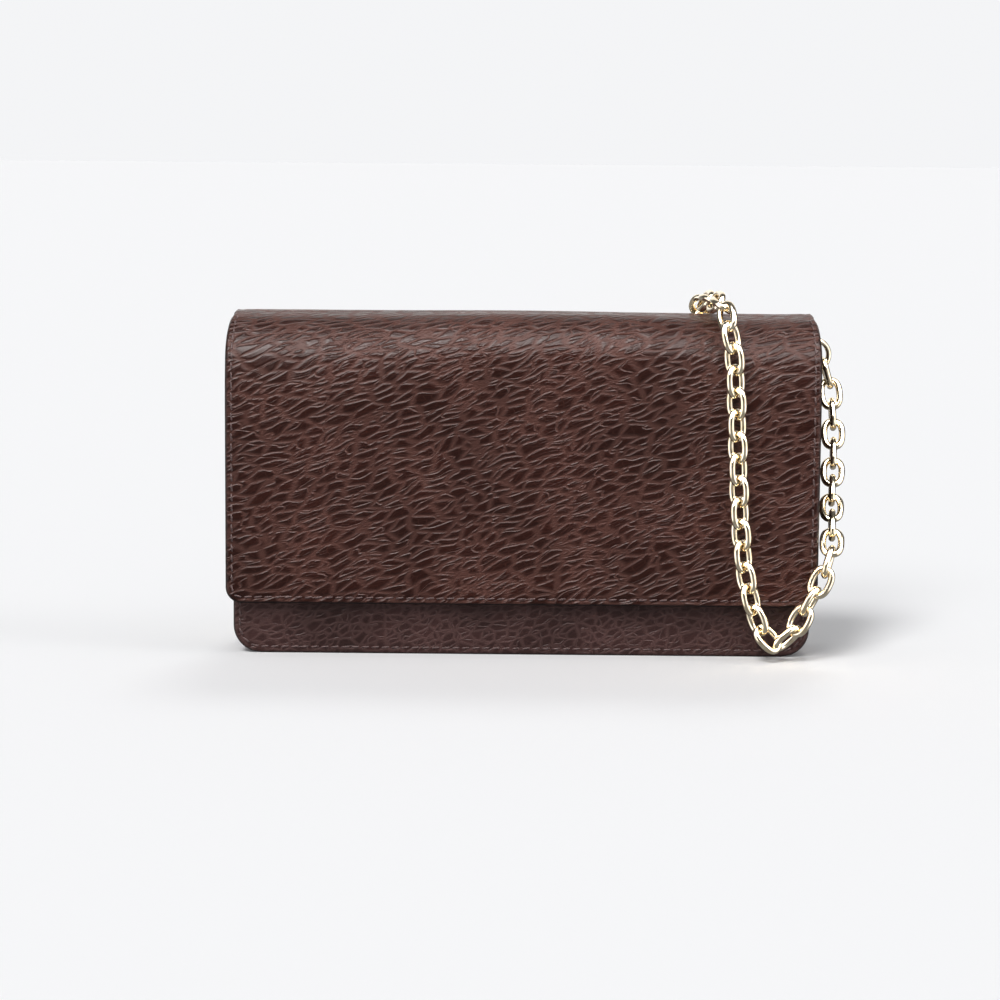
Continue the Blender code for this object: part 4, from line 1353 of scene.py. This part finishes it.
@dataclass
class Case:
    """The case: skin, panels, gussets, slots, pocket and all of their stitching."""

    line: WrapLine
    flap_corner: float = 5 * MM
    case_corner: float = 9 * MM

    def build(self) -> None:
        """Builds every leather and cloth piece."""
        half, flap_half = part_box("back_panel")[1][0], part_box("flap_leather")[1][0]
        skin = Skin(self.line, half, flap_half, self.flap_corner, self.case_corner)
        skin.build()
        self.panels()
        Gusset(-1).build()
        Gusset(1).build()
        self.stitches(skin)

    def panels(self) -> None:
        """The front wall, the card slots, the pocket's walls and the plain pieces inside."""
        front = Panel("front_wall", "front_panel", self.case_corner, Finish.LOWER, 200, 110, 0.6 * MM)
        front.wave, front.seam = 0.12 * MM, SEAM_INSET
        front.build()
        Panel("front_wall_lining", "front_lining", 7 * MM, Finish.INNER, rim=0.3 * MM).build()
        for number in (1, 2, 3, 4):
            node = f"card_slot_{number}"
            Panel(f"slot_{number}", node, 7 * MM, Finish.INNER, rim=0.35 * MM, top_crease=True).build()
        for name in ("front", "back"):
            node = f"pocket_{name}"
            Panel(f"pocket_wall_{name}", node, 4 * MM, Finish.INNER, rim=0.45 * MM).build()
        for node in ("back_board", "front_board", "flap_board"):
            keep_node(node, Finish.BOARD)
        for node in ("pocket_end_left", "pocket_end_right", "pocket_bottom"):
            keep_node(node, Finish.CLOTH)
        base = refined_node("gusset_base", "case", Finish.INNER, 0.2 * MM)
        tabs = [refined_node(f"tab_{name}", "case", Finish.INNER, 0.15 * MM) for name in ("left", "right")]
        for obj in [base, *tabs]:
            self.lay_pattern(obj)

    def lay_pattern(self, obj: bpy.types.Object) -> None:
        """Gives a plain piece pattern coordinates: its own x + y, and z + y, in metres."""
        mesh = obj.data
        points = np.zeros(len(mesh.vertices) * 3, np.float32)
        mesh.vertices.foreach_get("co", points)
        points = points.reshape(-1, 3)
        corners = np.zeros(len(mesh.loops), np.int32)
        mesh.loops.foreach_get("vertex_index", corners)
        uv = np.stack([points[:, 0] + points[:, 1], points[:, 2] + points[:, 1]], -1)
        layer = mesh.uv_layers.get("surface") or mesh.uv_layers.new(name="surface")
        layer.uv.foreach_set("vector", uv[corners].ravel())

    def stitches(self, skin: Skin) -> None:
        """The rows on the flap, the back, the front wall's lower edge and the card slots."""
        stitching = Stitching()
        line, total = skin.line, skin.line.marks[-1]
        rise = total - line.marks[2] + line.hem
        x, height = seam_run(skin.flap_half, line.hem, rise, self.flap_corner)
        s = total - (height - line.hem)
        x = x * skin.half(s) / skin.flap_half
        skin.bend_front(stitching.row("flap_stitches", *skin.stitch_bed(x, s)))
        x, height = seam_run(skin.case_half, 0.0, line.top - line.back_radius, self.case_corner)
        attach(stitching.row("back_stitches", *skin.stitch_bed(x, height)), "case")
        low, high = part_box("front_panel")
        x, height = seam_run(high[0], low[2], high[2] - 6 * MM, self.case_corner)
        places = np.stack([x, np.full_like(x, low[1] + STITCH_BED), height], -1)
        normals = np.tile([0.0, -1.0, 0.0], (len(x), 1))
        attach(stitching.row("front_stitches", places, normals), "case")
        small = Stitching(length=2.0 * MM, pitch=2.7 * MM, radius=0.2 * MM)
        tops = [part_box(f"card_slot_{n}")[1][2] for n in (1, 2, 3, 4)]
        for number in (1, 2, 3, 4):
            low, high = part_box(f"card_slot_{number}")
            below = tops[number] if number < 4 else high[2] - 40 * MM
            height = np.linspace(high[2] - 1.5 * MM, below + 1.0 * MM, 60)
            places = np.stack([0 * height, np.full_like(height, low[1]), height], -1)
            normals = np.tile([0.0, -1.0, 0.0], (len(height), 1))
            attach(small.row(f"slot_{number}_stitches", places, normals), "case")


@dataclass(frozen=True)
class Sun:
    """A soft light so far off that it falls evenly on the whole floor."""

    name: str
    way: tuple[float, float, float]
    width: float
    power: float
    mirrored: bool = False

    def build(self) -> None:
        """Makes the light. Its width is in degrees, and reflections show it only if it is mirrored."""
        data = bpy.data.lights.new(self.name, "SUN")
        data.angle = math.radians(self.width)
        data.energy = self.power
        obj = bpy.data.objects.new(self.name, data)
        obj.rotation_euler = Vector(self.way).to_track_quat("Z", "Y").to_euler()
        obj.visible_glossy = self.mirrored
        bpy.context.scene.collection.objects.link(obj)


@dataclass(frozen=True)
class Softbox:
    """A round soft light that only reflections see, with its reach from middle to edge in degrees."""

    middle: tuple[float, float, float]
    reach: float
    power: float

    def brightness(self, book: TreeBook, way: bpy.types.NodeSocket) -> bpy.types.NodeSocket:
        """Its brightness in a direction, which falls to nothing over the outer third of its reach.

        Args:
            book: the world's nodes.
            way: the direction that is looked in.

        Returns:
            The brightness.
        """
        axis = tuple(Vector(self.middle).normalized())
        near = book.add("VectorMath", {0: way, 1: axis}, operation="DOT_PRODUCT").outputs["Value"]
        outer, inner = math.cos(math.radians(self.reach)), math.cos(math.radians(self.reach * 0.62))
        return book.ramp(near, outer, inner, 0.0, self.power)


@dataclass(frozen=True)
class Studio:
    """The floor, the light and the camera."""

    distance: float = 0.887
    lens: float = 100.0
    rise: float = 7.2
    swing: float = 0.4
    roll: float = 0.45
    aim: tuple[float, float, float] = (-0.0071, -0.0174, 0.0511)
    floor_half: float = 30.0
    surround: float = 0.34
    table_shine: float = 0.28
    room_shine: float = 0.12
    boxes: tuple[Softbox, ...] = (
        Softbox((-0.45, -1.0, 1.25), 32.0, 10.5),
        Softbox((0.95, -0.80, 1.10), 30.0, 10.0),
        Softbox((0.0, 1.0, 0.45), 40.0, 1.1),
        Softbox((-1.0, -0.45, 0.0), 38.0, 1.7),
        Softbox((1.0, -0.45, 0.0), 38.0, 1.7),
    )
    suns: tuple[Sun, ...] = (
        Sun("key", (-0.30, -0.60, 0.95), 20.0, 1.55, True),
        Sun("fill", (-0.35, -0.85, 0.62), 18.0, 0.70),
        Sun("overhead", (0.10, 0.62, 0.80), 16.0, 0.50),
        Sun("right_box", (0.85, -0.25, 0.60), 20.0, 0.28),
    )

    def build(self) -> None:
        """Builds the studio round the wallet."""
        self.floor()
        self.surroundings()
        for sun in self.suns:
            sun.build()
        self.camera()

    def floor(self) -> None:
        """A wide, flat, pale floor that meets the pale surround far away."""
        steps = np.linspace(-self.floor_half, self.floor_half, 13)
        x, y = np.meshgrid(steps, steps)
        points = np.stack([x, y, 0 * x], -1).reshape(-1, 3)
        obj = make_object("floor", Shape(points, grid_faces(*x.shape)))
        look = NodeBook("floor").shade(Base_Color=(0.90, 0.90, 0.905), Roughness=1.0, Specular_IOR_Level=0.0)
        obj.data.materials.append(look)
        obj.visible_glossy = False

    def surroundings(self) -> None:
        """What lies round the wallet: pale where the camera looks past it, even and dimmer as light.

        Reflections see the soft boxes instead, in a dark room over a table that is darker than it looks.
        """
        world = bpy.data.worlds.new("studio")
        bpy.context.scene.world = world
        world.use_nodes = True
        book = TreeBook(world.node_tree)
        rays = book.add("LightPath").outputs
        way = book.add("TexCoord").outputs["Generated"]
        height = book.add("SeparateXYZ", {0: way}).outputs[2]
        shine = book.ramp(height, -0.12, 0.04, self.table_shine, self.room_shine)
        for box in self.boxes:
            shine = book.maths("ADD", shine, box.brightness(book, way))
        lit, mirrored, seen = (
            book.add("Background", {"Color": (*colour, 1.0), "Strength": strength}).outputs[0]
            for colour, strength in (
                ((0.96, 0.97, 1.0), self.surround),
                ((1.0, 0.985, 0.965), shine),
                ((0.905, 0.910, 0.925), 1.0),
            )
        )
        mix = book.add("MixShader", {0: rays["Is Glossy Ray"], 1: lit, 2: mirrored}).outputs[0]
        mix = book.add("MixShader", {0: rays["Is Camera Ray"], 1: mix, 2: seen}).outputs[0]
        book.tree.links.new(mix, book.tree.nodes["World Output"].inputs["Surface"])

    def camera(self) -> None:
        """Places the camera on a circle round the point that it looks at."""
        data = bpy.data.cameras.new("camera")
        data.lens = self.lens
        data.sensor_width = 36.0
        rise, swing = math.radians(self.rise), math.radians(self.swing)
        way = Vector((math.sin(swing) * math.cos(rise), -math.cos(swing) * math.cos(rise), math.sin(rise)))
        obj = bpy.data.objects.new("camera", data)
        obj.location = Vector(self.aim) + way * self.distance
        level = (-way).to_track_quat("-Z", "Y")
        obj.rotation_euler = (level @ Quaternion((0, 0, 1), math.radians(self.roll))).to_euler()
        bpy.context.scene.collection.objects.link(obj)
        bpy.context.scene.camera = obj
        bpy.context.scene.view_settings.view_transform = "Standard"


def main() -> None:
    """Builds the studio and the wallet."""
    logging.basicConfig(level=logging.INFO, format="%(name)s: %(message)s")
    Studio().build()
    flap_low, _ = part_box("flap_leather")
    line = WrapLine(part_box("back_panel")[1][1], flap_low[1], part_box("flap_top_leather")[1][2], flap_low[2])
    Chain(line.back, line.front, line.top).build()
    Case(line).build()
    Ring(-1, 95.0).build()
    Ring(1, 20.0).build()
    PressStud().build()
    Zip().build()


if __name__ == "__main__":
    main()
